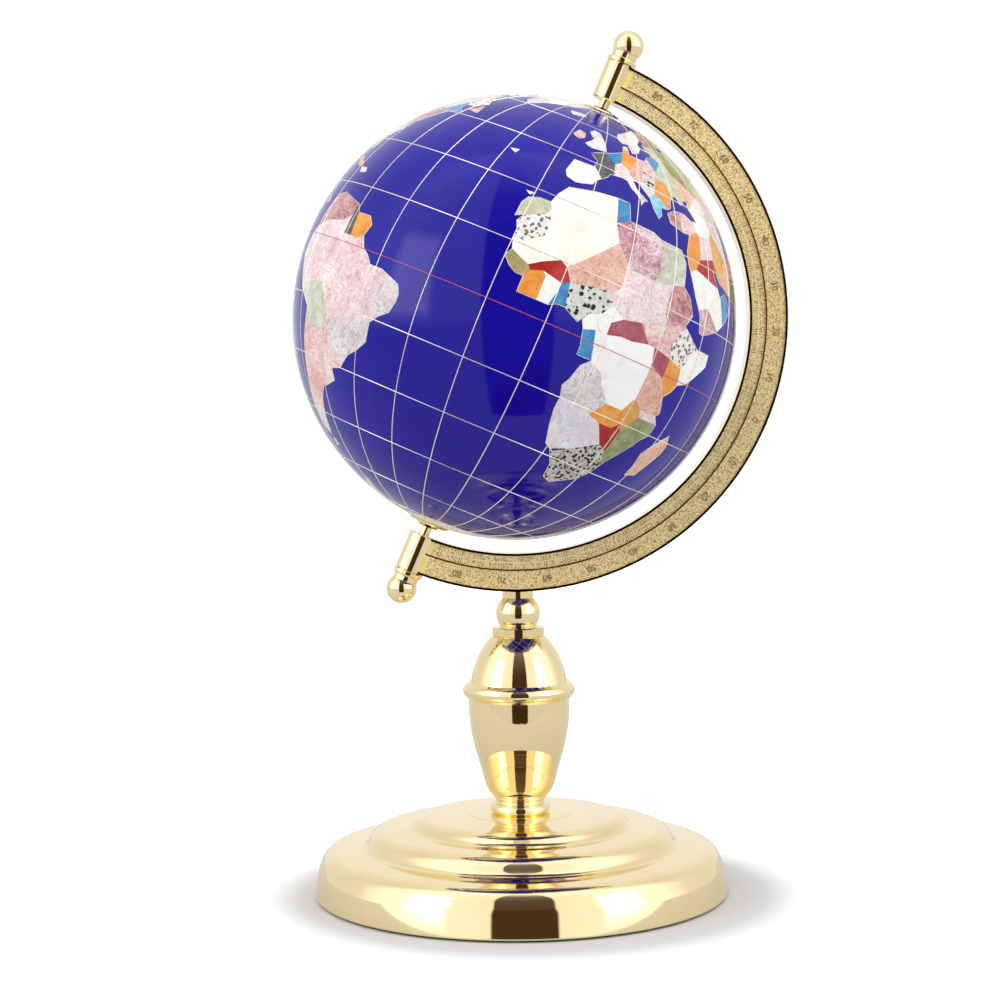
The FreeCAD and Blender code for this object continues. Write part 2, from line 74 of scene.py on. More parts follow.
GLOBE_R = 75.0 * MM
FRONT_LONGITUDE = -6.0      # meridian that faces -Y at rest
RESIN_T = 2.5 * MM          # thickness of the ocean layer
OCEAN_END = 84.6            # latitude, under the pole discs
WIRE_END = 84               # latitude at which the meridians stop
GRATICULE_STEP = 15
WIRE_R = 0.18 * MM
WIRE_SUNK = 0.07 * MM       # depth of the wire's middle under the ball's surface
EQUATOR_R = 0.15 * MM
EQUATOR_SUNK = 0.05 * MM
COAST_R = 0.10 * MM
COAST_SUNK = 0.04 * MM

ARM_WIDTH = 12.9 * MM
BORDER = 0.8 * MM           # raised edge of the arm beside the scale bands
SCALE_W = 5.3 * MM          # from the arm's inner edge to the end of its inner scale
CUFF_ANGLE = 86.9           # degrees from the arm's middle, where the blasted bands stop
EDGE_SHADE_W = 0.6 * MM        # width of the painted shade, a dark line along both edges of the arm's faces
SCALE_R = 83 * MM           # radius at which the widths of the scale's lines are meant
LINE_W = 0.34 * MM          # widths of the scale's lines, its finer lines and the shade beside the lines
FINE_W = 0.26 * MM
SHADE_W = 0.85 * MM
NUMERAL_R = 88.6            # in mm, to the middle of a numeral
NUMERAL_H = 3.3 * MM
NUMERAL_T = 0.12 * MM       # half the thickness of a numeral, whose middle is sunk below the arm's face
NUMERAL_SUNK = 0.30 * MM

# ---------------------------------------------------------------- the map
# Stones are (kind, corners), corners written "longitude,latitude". Neighbours share their corners.
# A land cut into cells has an outline, and one "kind longitude,latitude" for the middle of each stone.

AFRICA = [
    ("milk", "-7,34 -3,35 -9,26 -10,28 -9,31"),
    ("moss", "-17,21 -17,25 -16,27 -13,28 -10,28 -9,26 -11,24 -15,22"),
    ("quartz", "-15,22 -11,24 -9,26 -8,23 -8,19 -12,16 -15,16 -15,18 -16,20"),
    ("cream", "-3,35 1,36 8,37 9,30 11,25 7,21 2,16 0,14 -2,15 -6,13 -9,11 -14,13 -15,16 -12,16 -8,19"
              " -8,23 -9,26"),
    ("bronze", "-14,13 -9,11 -8,10 -9,8 -11,8 -13,9 -15,11"),
    ("garnet", "-9,11 -6,13 -2,15 0,14 2,11 0,10 -5,11 -8,10"),
    ("amber", "-8,10 -5,11 -4,10 -4,4 -6,4 -9,4 -9,6 -9,8"),
    ("milk", "-5,11 0,10 0,8 -1,4 -3,4 -4,4 -4,10"),
    ("azure", "0,10 2,11 3,5 1,5 -1,4 0,8"),
    ("salmon", "0,14 2,16 7,21 11,25 15,21 15,15 13,13 2,11"),
    ("dalmatian", "2,11 13,13 14,10 12,7 9,6 7,3 5,4 3,5"),
    ("azure", "8,37 12,37 13,32 9,30"),
    ("rose", "9,30 13,32 16,30 15,21 11,25"),
    ("mauve", "13,32 21,32 24,31 26,27 24,20 16,20 15,21 16,30"),
    ("sage", "24,31 32,31 34,28 34,22 30,21 24,20 26,27"),
    ("petal", "15,21 16,20 24,20 30,21 29,16 30,11 23,9 18,8 14,10 13,13 15,15"),
    ("rose", "30,21 34,22 37,20 39,16 37,13 30,11 29,16"),
    ("blush", "23,9 30,11 37,13 34,7 35,4 29,5 27,5"),
    ("maroon", "15,6 18,8 23,9 27,5 22,4 19,4 15,3"),
    ("milk", "9,6 12,7 14,10 18,8 15,6 15,3 17,-2 14,-4 12,3 9,2 8,4"),
    ("azure", "9,2 12,3 14,-4 10,-4 10,-2"),
    ("snow", "15,3 19,4 22,4 27,5 29,5 30,1 30,-8 28,-12 23,-12 19,-8 18,-6 14,-4 17,-2"),
    ("pearl", "14,-4 18,-6 19,-8 23,-12 20,-16 11,-15 10,-12 11,-10 12,-6"),
    ("moonstone", "11,-15 20,-16 24,-17 28,-22 21,-26 16,-28 14,-27 12,-22 11,-18"),
    ("amber", "23,-12 28,-12 30,-15 28,-17 24,-17 20,-16"),
    ("honey", "30,-8 33,-10 34,-12 31,-17 30,-15 28,-12"),
    ("garnet", "24,-17 28,-17 30,-15 31,-17 31,-23 28,-22"),
    ("olive", "31,-17 34,-12 41,-12 41,-15 39,-17 38,-19 34,-25 33,-27 31,-23"),
    ("leopard", "16,-28 21,-26 28,-22 31,-23 33,-27 32,-30 30,-33 23,-37 20,-36 19,-32"),
    ("maroon", "29,5 35,4 35,-1 30,1"),
    ("salmon", "30,1 35,-1 38,-5 40,-9 39,-10 33,-10 30,-8"),
    ("amber", "35,4 40,3 41,-1 40,-3 38,-5 35,-1"),
    ("milk", "44,9 50,9 50,6 44,0 41,-1 40,3 43,8"),
    ("quartz", "37,13 42,10 44,9 43,8 40,3 35,4 34,7"),
    ("petal", "33,-10 39,-10 41,-12 34,-12"),
]
SOUTH_AMERICA = [
    ("rose", "-78,2 -77,6 -75,11 -71,12 -61,10 -61,7 -64,5 -72,4"),
    ("granite", "-61,10 -59,8 -58,2 -61,2 -61,7"),
    ("amber", "-59,8 -54,8 -52,6 -53,3 -55,2 -58,2"),
    ("shell", "-72,4 -64,5 -61,7 -61,2 -58,2 -55,2 -53,3 -51,0 -49,-1 -47,-3 -43,-3 -40,-4 -44,-10"
              " -42,-16 -47,-16 -55,-19 -59,-17 -64,-11 -71,-12 -73,-6"),
    ("pearl", "-40,-4 -37,-5 -36,-7 -36,-9 -37,-12 -40,-14 -42,-16 -44,-10"),
    ("petal", "-80,0 -78,2 -72,4 -73,-6 -71,-12 -70,-18 -76,-14 -81,-6"),
    ("sage", "-71,-12 -64,-11 -59,-17 -60,-22 -68,-23 -70,-18"),
    ("pearl", "-59,-17 -55,-19 -47,-16 -42,-16 -42,-21 -45,-24 -48,-26 -51,-30 -54,-27 -57,-25"),
    ("blush", "-60,-22 -59,-17 -57,-25 -54,-27 -51,-30 -55,-31 -58,-30 -61,-27"),
    ("blush", "-68,-23 -60,-22 -61,-27 -58,-30 -59,-33 -58,-36 -61,-37 -64,-41 -66,-45 -71,-45 -70,-35"
              " -69,-28"),
    ("shell", "-58,-30 -55,-31 -54,-34 -58,-36 -59,-33"),
    ("blush", "-70,-18 -68,-23 -69,-28 -70,-35 -71,-45 -69,-52 -74,-50 -75,-45 -73,-37 -72,-28"),
    ("petal", "-71,-45 -66,-45 -68,-50 -69,-52"),
]
NORTH_AMERICA = (
    "-80,9 -83,11 -83,15 -88,16 -87,21 -90,21 -91,19 -95,18.5 -97.5,22.5 -97,27.5 -94,29.5 -90,29.5 -84,30"
    " -82.5,27.5 -81,25.5 -80.5,28 -81,31 -76,35 -75.5,38 -70.5,42 -67,45 -61,46 -65,48.5 -67,50 -60,50"
    " -56,52.5 -62,57 -64.5,60 -70,61 -74,62.3 -78,62 -77,57 -79,52.5 -82,53 -82.5,55.3 -88,56.5 -94,58.5"
    " -94.5,60.5 -91,63 -87,65 -82,67 -82,69.5 -88,68.5 -94,71.5 -100,68 -108,68 -115,69 -125,70 -135,69"
    " -145,70 -156,71.3 -163,69 -166,68.3 -162,66 -166,64.5 -161,64 -165,61.5 -162,59 -158,58.8 -160,56"
    " -152,59.5 -146,60.8 -138,59.3 -133,56 -128,51 -124,48.5 -124,43 -122,37 -117.5,33 -115,28 -110,23"
    " -112,28 -114,31.5 -109,26 -105.5,21 -101,17.5 -95,16 -91,14 -87,12.5 -84,9 -82,8")
NORTH_AMERICA_CELLS = (
    "peach -152,65 amber -135,64 milk -123,60 rose -121,52 sage -113,55 cream -104,56 salmon -96,54"
    " blush -86,51 pearl -74,52 petal -104,66 mauve -117,67 moss -90,66 quartz -63,54 azure -66,46"
    " garnet -120,46 honey -119,39 petal -112,34 milk -110,44 salmon -101,44 cream -100,37 rose -99,31"
    " blush -92,45 amber -91,38 sage -90,32 dalmatian -84,42 pearl -83,35 maroon -76,41 milk -81,28"
    " peach -105,27 mauve -100,20 olive -90,17 azure -85,13 rose -82,9 blush -112,27")
GREENLAND = (
    "-45,60 -50,62.5 -53,66 -54,70 -59,75.5 -70,77 -66,80 -50,82.3 -33,83.3 -20,81.5 -18,78 -22,73 -25,70"
    " -34,67 -41,64")
GREENLAND_CELLS = "pearl -45,64 milk -42,71 moonstone -50,78 petal -30,78"
EURASIA = (
    "-9,37 -10,38.7 -9,43.2 -2,43.5 -1.5,46 -4.5,48 -1.5,49.5 3,51.3 8,53.8 8.3,57 10.5,57.3 11,54.2 14,54"
    " 19,54.6 21,57 24,57.5 24,59.3 28.5,59.7 23,60 21.5,62.5 25,65.3 21,65 17.5,61.5 18.5,60 16.5,57"
    " 13,55.5 11,59 8,58.2 5.3,60 6,62.3 12,66 19,70 26,71 31,70 40,67.5 39,66.3 34,66.7 37,64 44,66 46,68"
    " 54,68.5 60,69 67,68.5 67,72.5 72,72.5 75,72.5 81,73.7 90,75.5 104,77.6 113,74 128,73 140,72.5 152,71"
    " 160,69.8 170,70 179,69 190,66.2 186,64.5 179,62.5 172,60.2 163,60 163,56 157,51 156,57 160,60.5"
    " 155,59.3 143,59.2 137,54 141,52.5 140,48 135,43.3 131,42.8 129.5,41 128,38.5 129.3,35.5 126.5,34.5"
    " 126.5,37.5 125,39.5 121.5,39.3 121.5,40.8 118,39 122,37 119.5,35 121.5,31.8 121.5,28.5 117,23.6"
    " 110.5,21.3 108,21.6 106,18.5 109,13 107,10.3 105,9 103,11 101,13 99.3,10 103.5,4 103.8,1.4 100.5,5"
    " 98.5,8 97.5,16.5 94.5,16 94,18.8 91.5,22.6 87,21.5 82,16.5 80,13 79.5,10 77.5,8 74.5,14 72.8,20 69,22"
    " 66.5,25.2 61,25.2 57,26.5 52,27.7 49,30.2 48,29.6 50.5,26 52,24.2 56,26 59.7,22.5 57,19 52,15.5"
    " 45,12.8 43,13 42,17 39,21 35,28.5 34.5,31.5 36,36.5 33,36.2 30.5,36.6 27.5,37 26.5,39.6 29,41.1"
    " 32,41.8 35,42 38,41 41.5,41.5 39,44 37.5,45 39,47 35.5,46.3 36,45.3 33.7,44.5 32.5,46.2 30.5,46.3"
    " 28.5,43.8 28.2,41.6 26.5,40.6 23.8,40.4 24,38 22.8,36.6 21,38.5 19.3,41.5 14,45.2 12.4,44.8 14,42.5"
    " 18.3,40.2 16.8,39.5 16,38 15.5,40 12,42 10.3,43.8 8,44 4,43.4 3.2,42 0,39.5 -1,37.7 -4,36.7 -6,36.2")
EURASIA_CELLS = (
    "milk -4.5,40 cream -8.4,40 granite 2,46.5 azure 5,51 amber 10,50.5 milk 12,43 petal 8.3,46.6"
    " salmon 14,48 blush 20,52 azure 25,55.5 dalmatian 19,47 amber 25,45.5 aqua 22,40.5 pearl 18,43.8"
    " petal 10,61 milk 17,64 rose 26,66 moss 27,61 sage 27,53.5 moss 32,49.5 olive 40,57 moss 52,60"
    " peach 38,50 blush 36,39 rose 29,38.8 milk 43,42 amber 38.5,34.5 petal 44,34 garnet 45,30 milk 44,24"
    " cream 50,20 mauve 47,15.5 azure 57,22.5 olive 33,65.5 sage 45,63 honey 53,34 peach 59,30.5 moss 66,60"
    " petal 60,52 salmon 68,47 pearl 58,40 azure 64,40 maroon 70,39.5 rose 66,34 granite 65,28.5"
    " mauve 71,31.5 amber 75,24 milk 78,18 blush 76.5,11.5 sage 82,26 petal 87,23.5 peach 84,29 olive 80,66"
    " moss 86,56 cream 93,67 rose 106,68 honey 104,58 milk 122,65 azure 118,55 peach 137,63 sage 134,52"
    " pearl 155,66 salmon 172,66.5 moss 160,56 dalmatian 148,62 amber 100,47.5 milk 112,46 petal 88,45"
    " cream 85,39 pearl 88,33 salmon 97,34 rose 103,38 blush 110,38 garnet 106,31 amber 112,31"
    " sage 118,32.5 mauve 117,27 honey 108,24.5 peach 101,25.5 blush 124,46 petal 118,43 aqua 127,40.5"
    " maroon 127.5,36.5 olive 96,21 azure 101,17 milk 105,14.5 rose 107,12 salmon 102,4 petal 99.5,13")
AUSTRALIA = (
    "114,-22 117,-20.5 122,-18 124,-16 129,-15 131,-12 136.5,-12.2 135.5,-15 139,-17.5 141,-16 142.5,-10.8"
    " 145.3,-15 146.3,-19 150,-22.5 153,-26 153,-30 150,-37.3 147,-38.5 143.5,-38.8 140,-37.5 138,-35.5"
    " 136,-35 131.5,-31.7 126,-32.3 123.5,-34 118,-34.8 115,-34 113.5,-26")
AUSTRALIA_CELLS = (
    "amber 121,-22 peach 119,-29 milk 128,-26 garnet 133,-16.5 salmon 134,-22.5 rose 135,-29 petal 143,-22"
    " blush 144,-14 sage 147,-26.5 dalmatian 146,-32 azure 144,-36.5")
ANTARCTICA = (
    "0,-74 15,-73.5 30,-73 45,-71 55,-68.5 70,-68.5 85,-67 100,-66 110,-66 125,-66.5 140,-67 155,-69"
    " 165,-71 168,-75 165,-78 180,-78.5 195,-79 205,-77.5 215,-77 225,-75.5 235,-74 247,-74.5 260,-73"
    " 272,-73 285,-72 292,-68 300,-64.5 303,-65.5 298,-70 298,-74 306,-78 315,-79 330,-78 345,-75.5")
ANTARCTICA_CELLS = (
    "milk 10,-74 pearl 60,-72 snow 110,-72 moonstone 150,-75 milk 225,-78 pearl 285,-76 snow 320,-81"
    " cream 70,-82")
ISLANDS = [
    ("peach", "49,-13 51,-16 51,-18 49,-23 48,-26 44,-27 44,-24 43,-20 45,-17"),
    ("moonstone", "-8,51 -5,50 1,51 0,54 -5,55 -6,53"),
    ("petal", "-6,55 -5,55 0,54 -3,58 -6,58.7 -8,57"),
    ("salmon", "-14,53 -11,51.8 -9,53 -9.5,55.3 -12.5,55.8"),
    ("pearl", "-24,65.5 -16,66.5 -13.5,65 -19,63.4 -22.5,64"),
    ("milk", "12,79.6 26,80.2 20,77.5 15,77"),
    ("petal", "52,71.2 57,74.5 68,76.8 62,74.5 58,71.5"),
    ("amber", "80,9.5 81.8,7.5 81,6 80,6.5"),
    ("sage", "95.5,5.5 98.5,3.5 103,-0.5 106,-3.5 105.5,-5.8 102,-4 98.5,0.8"),
    ("rose", "105.3,-6.4 110,-6.6 114,-7.2 114.3,-8.6 109,-7.8"),
    ("milk", "109.2,1.5 113,3.2 114,4.6 111,0"),
    ("olive", "114,4.6 116.8,7 119,5 117.8,1.2"),
    ("salmon", "111,0 114,4.6 117.8,1.2 116,-3.8 112,-3.2 110,-1"),
    ("amber", "119,-5 119.2,-1 120,1 125,1.3 121.3,0 121.5,-1.5 123,-4.8 121,-3.5"),
    ("mauve", "120.4,18 122.2,18.4 122,15.5 124,13 120.8,13.8"),
    ("peach", "122.2,7.8 125.5,9.6 126.3,6.8 124,6"),
    ("garnet", "131,-0.8 134,-0.9 135,-3 138,-1.6 141,-2.8 141,-9 138,-8.2 133,-4"),
    ("blush", "141,-2.8 145,-4.5 147.5,-6 150.5,-10.4 146,-8.5 143,-9 141,-9"),
    ("milk", "151,-5.5 152.3,-4.3 150,-5.6 148.5,-5.7 150.5,-6.2"),
    ("rose", "130,32 131,34.3 136,35.7 138,37.5 140,39.8 141,41.3 142,39 141,36 138.5,34.6 135.5,33.8"),
    ("petal", "140.2,42 141.5,43.5 142,45.4 145.2,43.3 143,42.1"),
    ("cream", "142.2,46.5 142,50 142.6,54 143.8,50 143,48"),
    ("azure", "120.2,23 121.6,25.2 121,22.2"),
    ("milk", "172.8,-34.6 175,-36.5 178.3,-37.8 175.2,-41.5 174.2,-38.8"),
    ("rose", "172.8,-40.6 174.2,-41.8 171,-45 169,-46.6 166.6,-46"),
    ("sage", "144.8,-40.8 148.2,-41 147,-43.5"),
    ("amber", "-84.8,22 -80,23.2 -74.3,20.2 -77.5,20 -81,22"),
    ("petal", "-74,19.8 -70,19.8 -68.6,18.6 -72,18.1"),
    ("salmon", "-59.2,47.8 -57,49.5 -55.8,51.4 -53,47.2"),
    ("pearl", "-65,62.5 -62,66.5 -68,69 -72,71.5 -74,68.5 -74,66.5 -77,64.8 -71,63"),
    ("milk", "-72,71.5 -80,73.6 -85,73.5 -89,71.5 -80,70 -74,68.5"),
    ("petal", "-105,69 -104.5,73 -117,73.3 -117,69.8"),
    ("milk", "-79,76.3 -74,79 -63.5,82.3 -75,83 -88,81.8 -88,77.5"),
    ("salmon", "-124.5,71.8 -118,73.8 -124,74.2"),
    ("blush", "-70.5,-53.6 -68.3,-53 -66.2,-54.8 -70,-55.4"),
    ("milk", "166,-20.5 167,-22.3 164.5,-20.5"),
    ("milk", "177.5,-17.5 178.7,-17.7 178,-18.3"),
    ("milk", "-156,20 -155,19.5 -155.7,19"),
    ("milk", "-29,38.8 -26,39.3 -26.5,37.8"),
    ("milk", "-17.5,28.5 -15,28.6 -16,27.6"),
]

# ---------------------------------------------------------------- placing things


def sphere_point(longitude, latitude, radius):
    """Point on the globe at rest, in the row's frame."""
    turn = math.radians(longitude - FRONT_LONGITUDE - 90)
    rise = math.radians(latitude)
    flat = math.cos(rise)
    return TO_ROW @ (radius * Vector((flat * math.cos(turn), flat * math.sin(turn), math.sin(rise))))


def make_object(name, mesh, body, replaced=()):
    piece = bpy.data.objects.new(name, mesh)
    bpy.context.scene.collection.objects.link(piece)
    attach(piece, body)
    if replaced:
        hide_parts(*replaced)


# ---------------------------------------------------------------- materials


class Nodes:
    """Builds nodes in one tree. An input may be a number, a vector or another node's socket."""

    def __init__(self, tree):
        self.tree = tree

    def add(self, kind, inputs=None, **settings):
        node = self.tree.nodes.new(kind)
        for key, value in settings.items():
            setattr(node, key, value)
        for key, value in (inputs or {}).items():
            self.feed(node.inputs[key], value)
        return node

    def feed(self, socket, value):
        if isinstance(value, bpy.types.NodeSocket):
            self.tree.links.new(value, socket)
        else:
            socket.default_value = value

    def ramp(self, value, *stops):
        """Colour ramp; a stop is (place, (r, g, b)) or (place, grey)."""
        node = self.add("ShaderNodeValToRGB", {"Fac": value})
        elements = node.color_ramp.elements
        while len(elements) < len(stops):
            elements.new(0.5)
        for element, (place, colour) in zip(elements, stops):
            element.position = place
            rgb = colour if isinstance(colour, tuple) else (colour, colour, colour)
            element.color = (*rgb, 1.0)
        return node.outputs["Color"]

    def mix(self, factor, first, second):
        node = self.add("ShaderNodeMix", data_type="RGBA")
        self.feed(node.inputs[0], factor)
        self.feed(node.inputs[6], (*first, 1.0) if isinstance(first, tuple) else first)
        self.feed(node.inputs[7], (*second, 1.0) if isinstance(second, tuple) else second)
        return node.outputs[2]

    def maths(self, operation, first, second=0.0):
        return self.add("ShaderNodeMath", {0: first, 1: second}, operation=operation).outputs[0]


class Shader(Nodes):
    """One node material."""

    def __init__(self, name):
        self.material = bpy.data.materials.new(name)
        self.material.use_nodes = True
        super().__init__(self.material.node_tree)
        self.bsdf = self.tree.nodes["Principled BSDF"]

    def place(self, scale=1.0):
        """Object coordinates in metres times scale."""
        where = self.add("ShaderNodeTexCoord").outputs["Object"]
        if scale == 1.0:
            return where
        return self.add("ShaderNodeVectorMath", {0: where, "Scale": scale}, operation="SCALE").outputs[0]

    def noise(self, scale, detail=3.0, rough=0.55, distortion=0.0, vector=None):
        node = self.add("ShaderNodeTexNoise", {"Scale": scale, "Detail": detail, "Roughness": rough,
                                               "Distortion": distortion, "Vector": vector or self.place()})
        return node.outputs["Fac"]

    def cells(self, scale, output="Distance", vector=None):
        node = self.add("ShaderNodeTexVoronoi", {"Scale": scale, "Vector": vector or self.place()})
        return node.outputs[output]

    def bump(self, height, distance, strength=1.0):
        node = self.add("ShaderNodeBump", {"Height": height, "Distance": distance, "Strength": strength})
        self.feed(self.bsdf.inputs["Normal"], node.outputs["Normal"])

    def set(self, **values):
        for key, value in values.items():
            socket = self.bsdf.inputs[key.replace("_", " ")]
            self.feed(socket, (*value, 1.0) if isinstance(value, tuple) else value)
        return self.material


def gold(name, colour, worn, roughness):
    """Polished plate: faint buffing haze in the roughness and slow drift of tone."""
    s = Shader(name)
    drift = s.noise(60.0, 2.0)
    haze = s.noise(900.0, 4.0, 0.6)
    tone = s.mix(s.ramp(drift, (0.35, 0.0), (0.7, 1.0)), colour, worn)
    rough = s.ramp(haze, (0.3, roughness * 0.6), (0.75, roughness * 1.5))
    return s.set(Base_Color=tone, Metallic=1.0, Roughness=rough)


GOLD_COLOUR = (0.95, 0.805, 0.47)
GOLD_WORN = (0.94, 0.765, 0.43)
polished = gold("polished_gold", GOLD_COLOUR, GOLD_WORN, 0.045)


def arm_material():
    """Sandblasted bands with a scale, between borders with painted shade along the arm's edges, laid out by
    radius and angle.
    """
    s = Shader("arm_gold")
    where = s.add("ShaderNodeVectorMath", {0: s.place(), 1: CENTRE}, operation="SUBTRACT").outputs[0]
    x, y, z = s.add("ShaderNodeSeparateXYZ", {0: where}).outputs
    flat = s.add("ShaderNodeCombineXYZ", {0: x, 2: z}).outputs[0]
    radius = s.add("ShaderNodeVectorMath", {0: flat}, operation="LENGTH").outputs["Value"]
    low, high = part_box("meridian_arm")
    half = (high.y - low.y) / 2
    outer = CENTRE.z - low.z
    inner = outer - ARM_WIDTH

    def between(first, last):
        middle = (first + last) / 2
        away = s.maths("ABSOLUTE", s.maths("SUBTRACT", radius, middle))
        return s.maths("LESS_THAN", away, (last - first) / 2)

    turn = s.maths("MULTIPLY", s.maths("ADD", s.maths("ARCTAN2", z, x), TILT), 180 / math.pi)

    def spokes(step, width):
        """Lines across the arm every step degrees."""
        place = s.maths("FRACT", s.maths("ADD", s.maths("DIVIDE", turn, step), 100.5))
        near = s.maths("ABSOLUTE", s.maths("SUBTRACT", place, 0.5))
        return s.maths("LESS_THAN", near, width / 2 / SCALE_R * 180 / math.pi / step)

    # The faces with their recesses, and everything that lies lower than the raised borders.
    on_face = s.maths("GREATER_THAN", s.maths("ABSOLUTE", y), half - 0.6 * MM)
    sunk = s.maths("LESS_THAN", s.maths("ABSOLUTE", y), half - 0.1 * MM)
    bed = s.maths("MULTIPLY", s.maths("MULTIPLY", between(inner + BORDER, outer - BORDER), sunk), on_face)
    band = s.maths("MULTIPLY", bed, s.maths("LESS_THAN", s.maths("ABSOLUTE", turn), CUFF_ANGLE))
    # A hoop runs along the middle of the scale, and the finer lines stand only outside it.
    scale_band = between(inner + 1.0 * MM, inner + SCALE_W)
    lines = s.maths("MULTIPLY", spokes(5.0, LINE_W), scale_band)
    fine = s.maths("MULTIPLY", spokes(2.5, FINE_W), between(inner + 3.0 * MM, inner + SCALE_W))
    hoop = between(inner + 2.85 * MM, inner + 3.15 * MM)
    raised = s.maths("MULTIPLY", s.maths("MAXIMUM", s.maths("MAXIMUM", lines, fine), hoop), band)
    # Painted shade: a dark line along the inner and outer edges of both faces.
    middle = between(inner + EDGE_SHADE_W, outer - EDGE_SHADE_W)
    edge_shade = s.maths("MULTIPLY", on_face, s.maths("SUBTRACT", 1.0, middle))
    grain = s.noise(2000.0, 4.0, 0.78)
    pits_and_glint = s.cells(1200.0)
    broad = s.noise(240.0, 2.0)
    blast = s.mix(s.ramp(grain, (0.395, 0.0), (0.53, 1.0)), (0.30, 0.125, 0.018), (1.0, 0.85, 0.43))
    # Painted glint: the middles of the blast pits are lightened; the same pits also give the bump.
    blast = s.mix(s.ramp(pits_and_glint, (0.16, 0.85), (0.44, 0.0)), blast, (1.0, 0.90, 0.52))
    blast = s.mix(s.ramp(broad, (0.35, 0.0), (0.7, 0.18)), blast, (0.80, 0.60, 0.28))
    shade = s.maths("MULTIPLY", s.maths("MULTIPLY", spokes(5.0, SHADE_W), scale_band), band)
    blast = s.mix(s.maths("MULTIPLY", shade, 0.72), blast, (0.22, 0.10, 0.02))
    blast = s.mix(raised, blast, (1.0, 0.92, 0.56))
    colour = s.mix(bed, GOLD_COLOUR, (1.0, 0.83, 0.27))
    colour = s.mix(band, colour, blast)
    # The painted edge shade is laid over everything else.
    colour = s.mix(edge_shade, colour, (0.035, 0.014, 0.006))
    rough = s.maths("ADD", s.maths("MULTIPLY", bed, 0.58), 0.08)
    height = s.maths("MULTIPLY", s.maths("ADD", grain, s.maths("MULTIPLY", pits_and_glint, 0.6)), band)
    height = s.maths("ADD", height, raised)
    s.bump(height, 0.25 * MM, 0.8)
    metal = s.maths("SUBTRACT", 1.0, s.maths("MULTIPLY", bed, 0.75))
    return s.set(Base_Color=colour, Metallic=metal, Roughness=rough, Specular_IOR_Level=0.2)


def ocean_material():
    """Deep blue resin with a faint cloudy grain and a glossy polish."""
    s = Shader("ocean_blue")
    cloud = s.noise(45.0, 4.0, 0.6)
    grain = s.noise(1400.0, 2.0)
    flake = s.cells(700.0)
    colour = s.mix(s.ramp(cloud, (0.3, 0.0), (0.7, 1.0)), (0.006, 0.003, 0.25), (0.010, 0.006, 0.33))
    colour = s.mix(s.ramp(grain, (0.5, 0.0), (0.8, 0.25)), colour, (0.02, 0.015, 0.44))
    colour = s.mix(s.ramp(flake, (0.03, 0.5), (0.09, 0.0)), colour, (0.10, 0.09, 0.45))
    return s.set(Base_Color=colour, Roughness=0.06, Specular_IOR_Level=0.28)


# Stone kinds: ground colour, vein or cloud colour, dark colour, pattern, scale of the pattern in 1/m.
STONES = {
    "milk": ((0.86, 0.85, 0.80), (0.97, 0.97, 0.94), (0.62, 0.60, 0.56), "cloud", 120),
    "snow": ((0.93, 0.92, 0.91), (0.99, 0.99, 0.99), (0.80, 0.79, 0.78), "cloud", 60),
    "cream": ((0.88, 0.86, 0.74), (0.96, 0.95, 0.87), (0.78, 0.74, 0.60), "cloud", 70),
    "pearl": ((0.68, 0.62, 0.62), (0.92, 0.90, 0.90), (0.36, 0.32, 0.36), "nacre", 160),
    "moonstone": ((0.70, 0.68, 0.78), (0.94, 0.92, 0.96), (0.52, 0.50, 0.62), "nacre", 90),
    "moss": ((0.50, 0.52, 0.34), (0.68, 0.70, 0.52), (0.28, 0.30, 0.16), "cloud", 220),
    "sage": ((0.46, 0.50, 0.36), (0.70, 0.71, 0.60), (0.27, 0.30, 0.20), "cloud", 260),
    "olive": ((0.22, 0.26, 0.10), (0.38, 0.42, 0.22), (0.10, 0.12, 0.05), "cloud", 200),
    "bronze": ((0.34, 0.30, 0.12), (0.52, 0.40, 0.22), (0.22, 0.10, 0.06), "cloud", 300),
    "garnet": ((0.36, 0.014, 0.014), (0.50, 0.04, 0.03), (0.16, 0.01, 0.01), "cloud", 160),
    "maroon": ((0.34, 0.06, 0.09), (0.46, 0.14, 0.17), (0.20, 0.03, 0.05), "cloud", 140),
    "rose": ((0.44, 0.14, 0.17), (0.66, 0.34, 0.36), (0.26, 0.05, 0.07), "vein", 190),
    "mauve": ((0.50, 0.22, 0.27), (0.80, 0.60, 0.65), (0.30, 0.07, 0.10), "vein", 110),
    "petal": ((0.74, 0.56, 0.57), (0.90, 0.82, 0.82), (0.52, 0.30, 0.33), "speck", 420),
    "shell": ((0.76, 0.52, 0.52), (0.91, 0.82, 0.81), (0.60, 0.26, 0.27), "vein", 130),
    "blush": ((0.76, 0.42, 0.40), (0.88, 0.72, 0.68), (0.60, 0.16, 0.16), "vein", 150),
    "salmon": ((0.68, 0.34, 0.25), (0.82, 0.56, 0.47), (0.52, 0.18, 0.13), "speck", 380),
    "peach": ((0.78, 0.40, 0.26), (0.88, 0.60, 0.46), (0.60, 0.24, 0.14), "vein", 220),
    "amber": ((0.80, 0.28, 0.045), (0.86, 0.42, 0.10), (0.60, 0.14, 0.02), "cloud", 200),
    "honey": ((0.68, 0.30, 0.06), (0.80, 0.42, 0.12), (0.44, 0.16, 0.03), "cloud", 180),
    "azure": ((0.035, 0.20, 0.48), (0.08, 0.32, 0.60), (0.02, 0.10, 0.30), "cloud", 220),
    "aqua": ((0.14, 0.50, 0.72), (0.36, 0.70, 0.84), (0.08, 0.30, 0.48), "cloud", 260),
    "granite": ((0.055, 0.058, 0.062), (0.17, 0.17, 0.18), (0.01, 0.01, 0.01), "speck", 700),
    "dalmatian": ((0.52, 0.52, 0.50), (0.78, 0.77, 0.74), (0.012, 0.012, 0.014), "spots", 620),
    "quartz": ((0.76, 0.70, 0.66), (0.92, 0.90, 0.87), (0.20, 0.16, 0.15), "spots", 800),
    "leopard": ((0.36, 0.35, 0.33), (0.70, 0.68, 0.64), (0.012, 0.012, 0.014), "spots", 760),
}


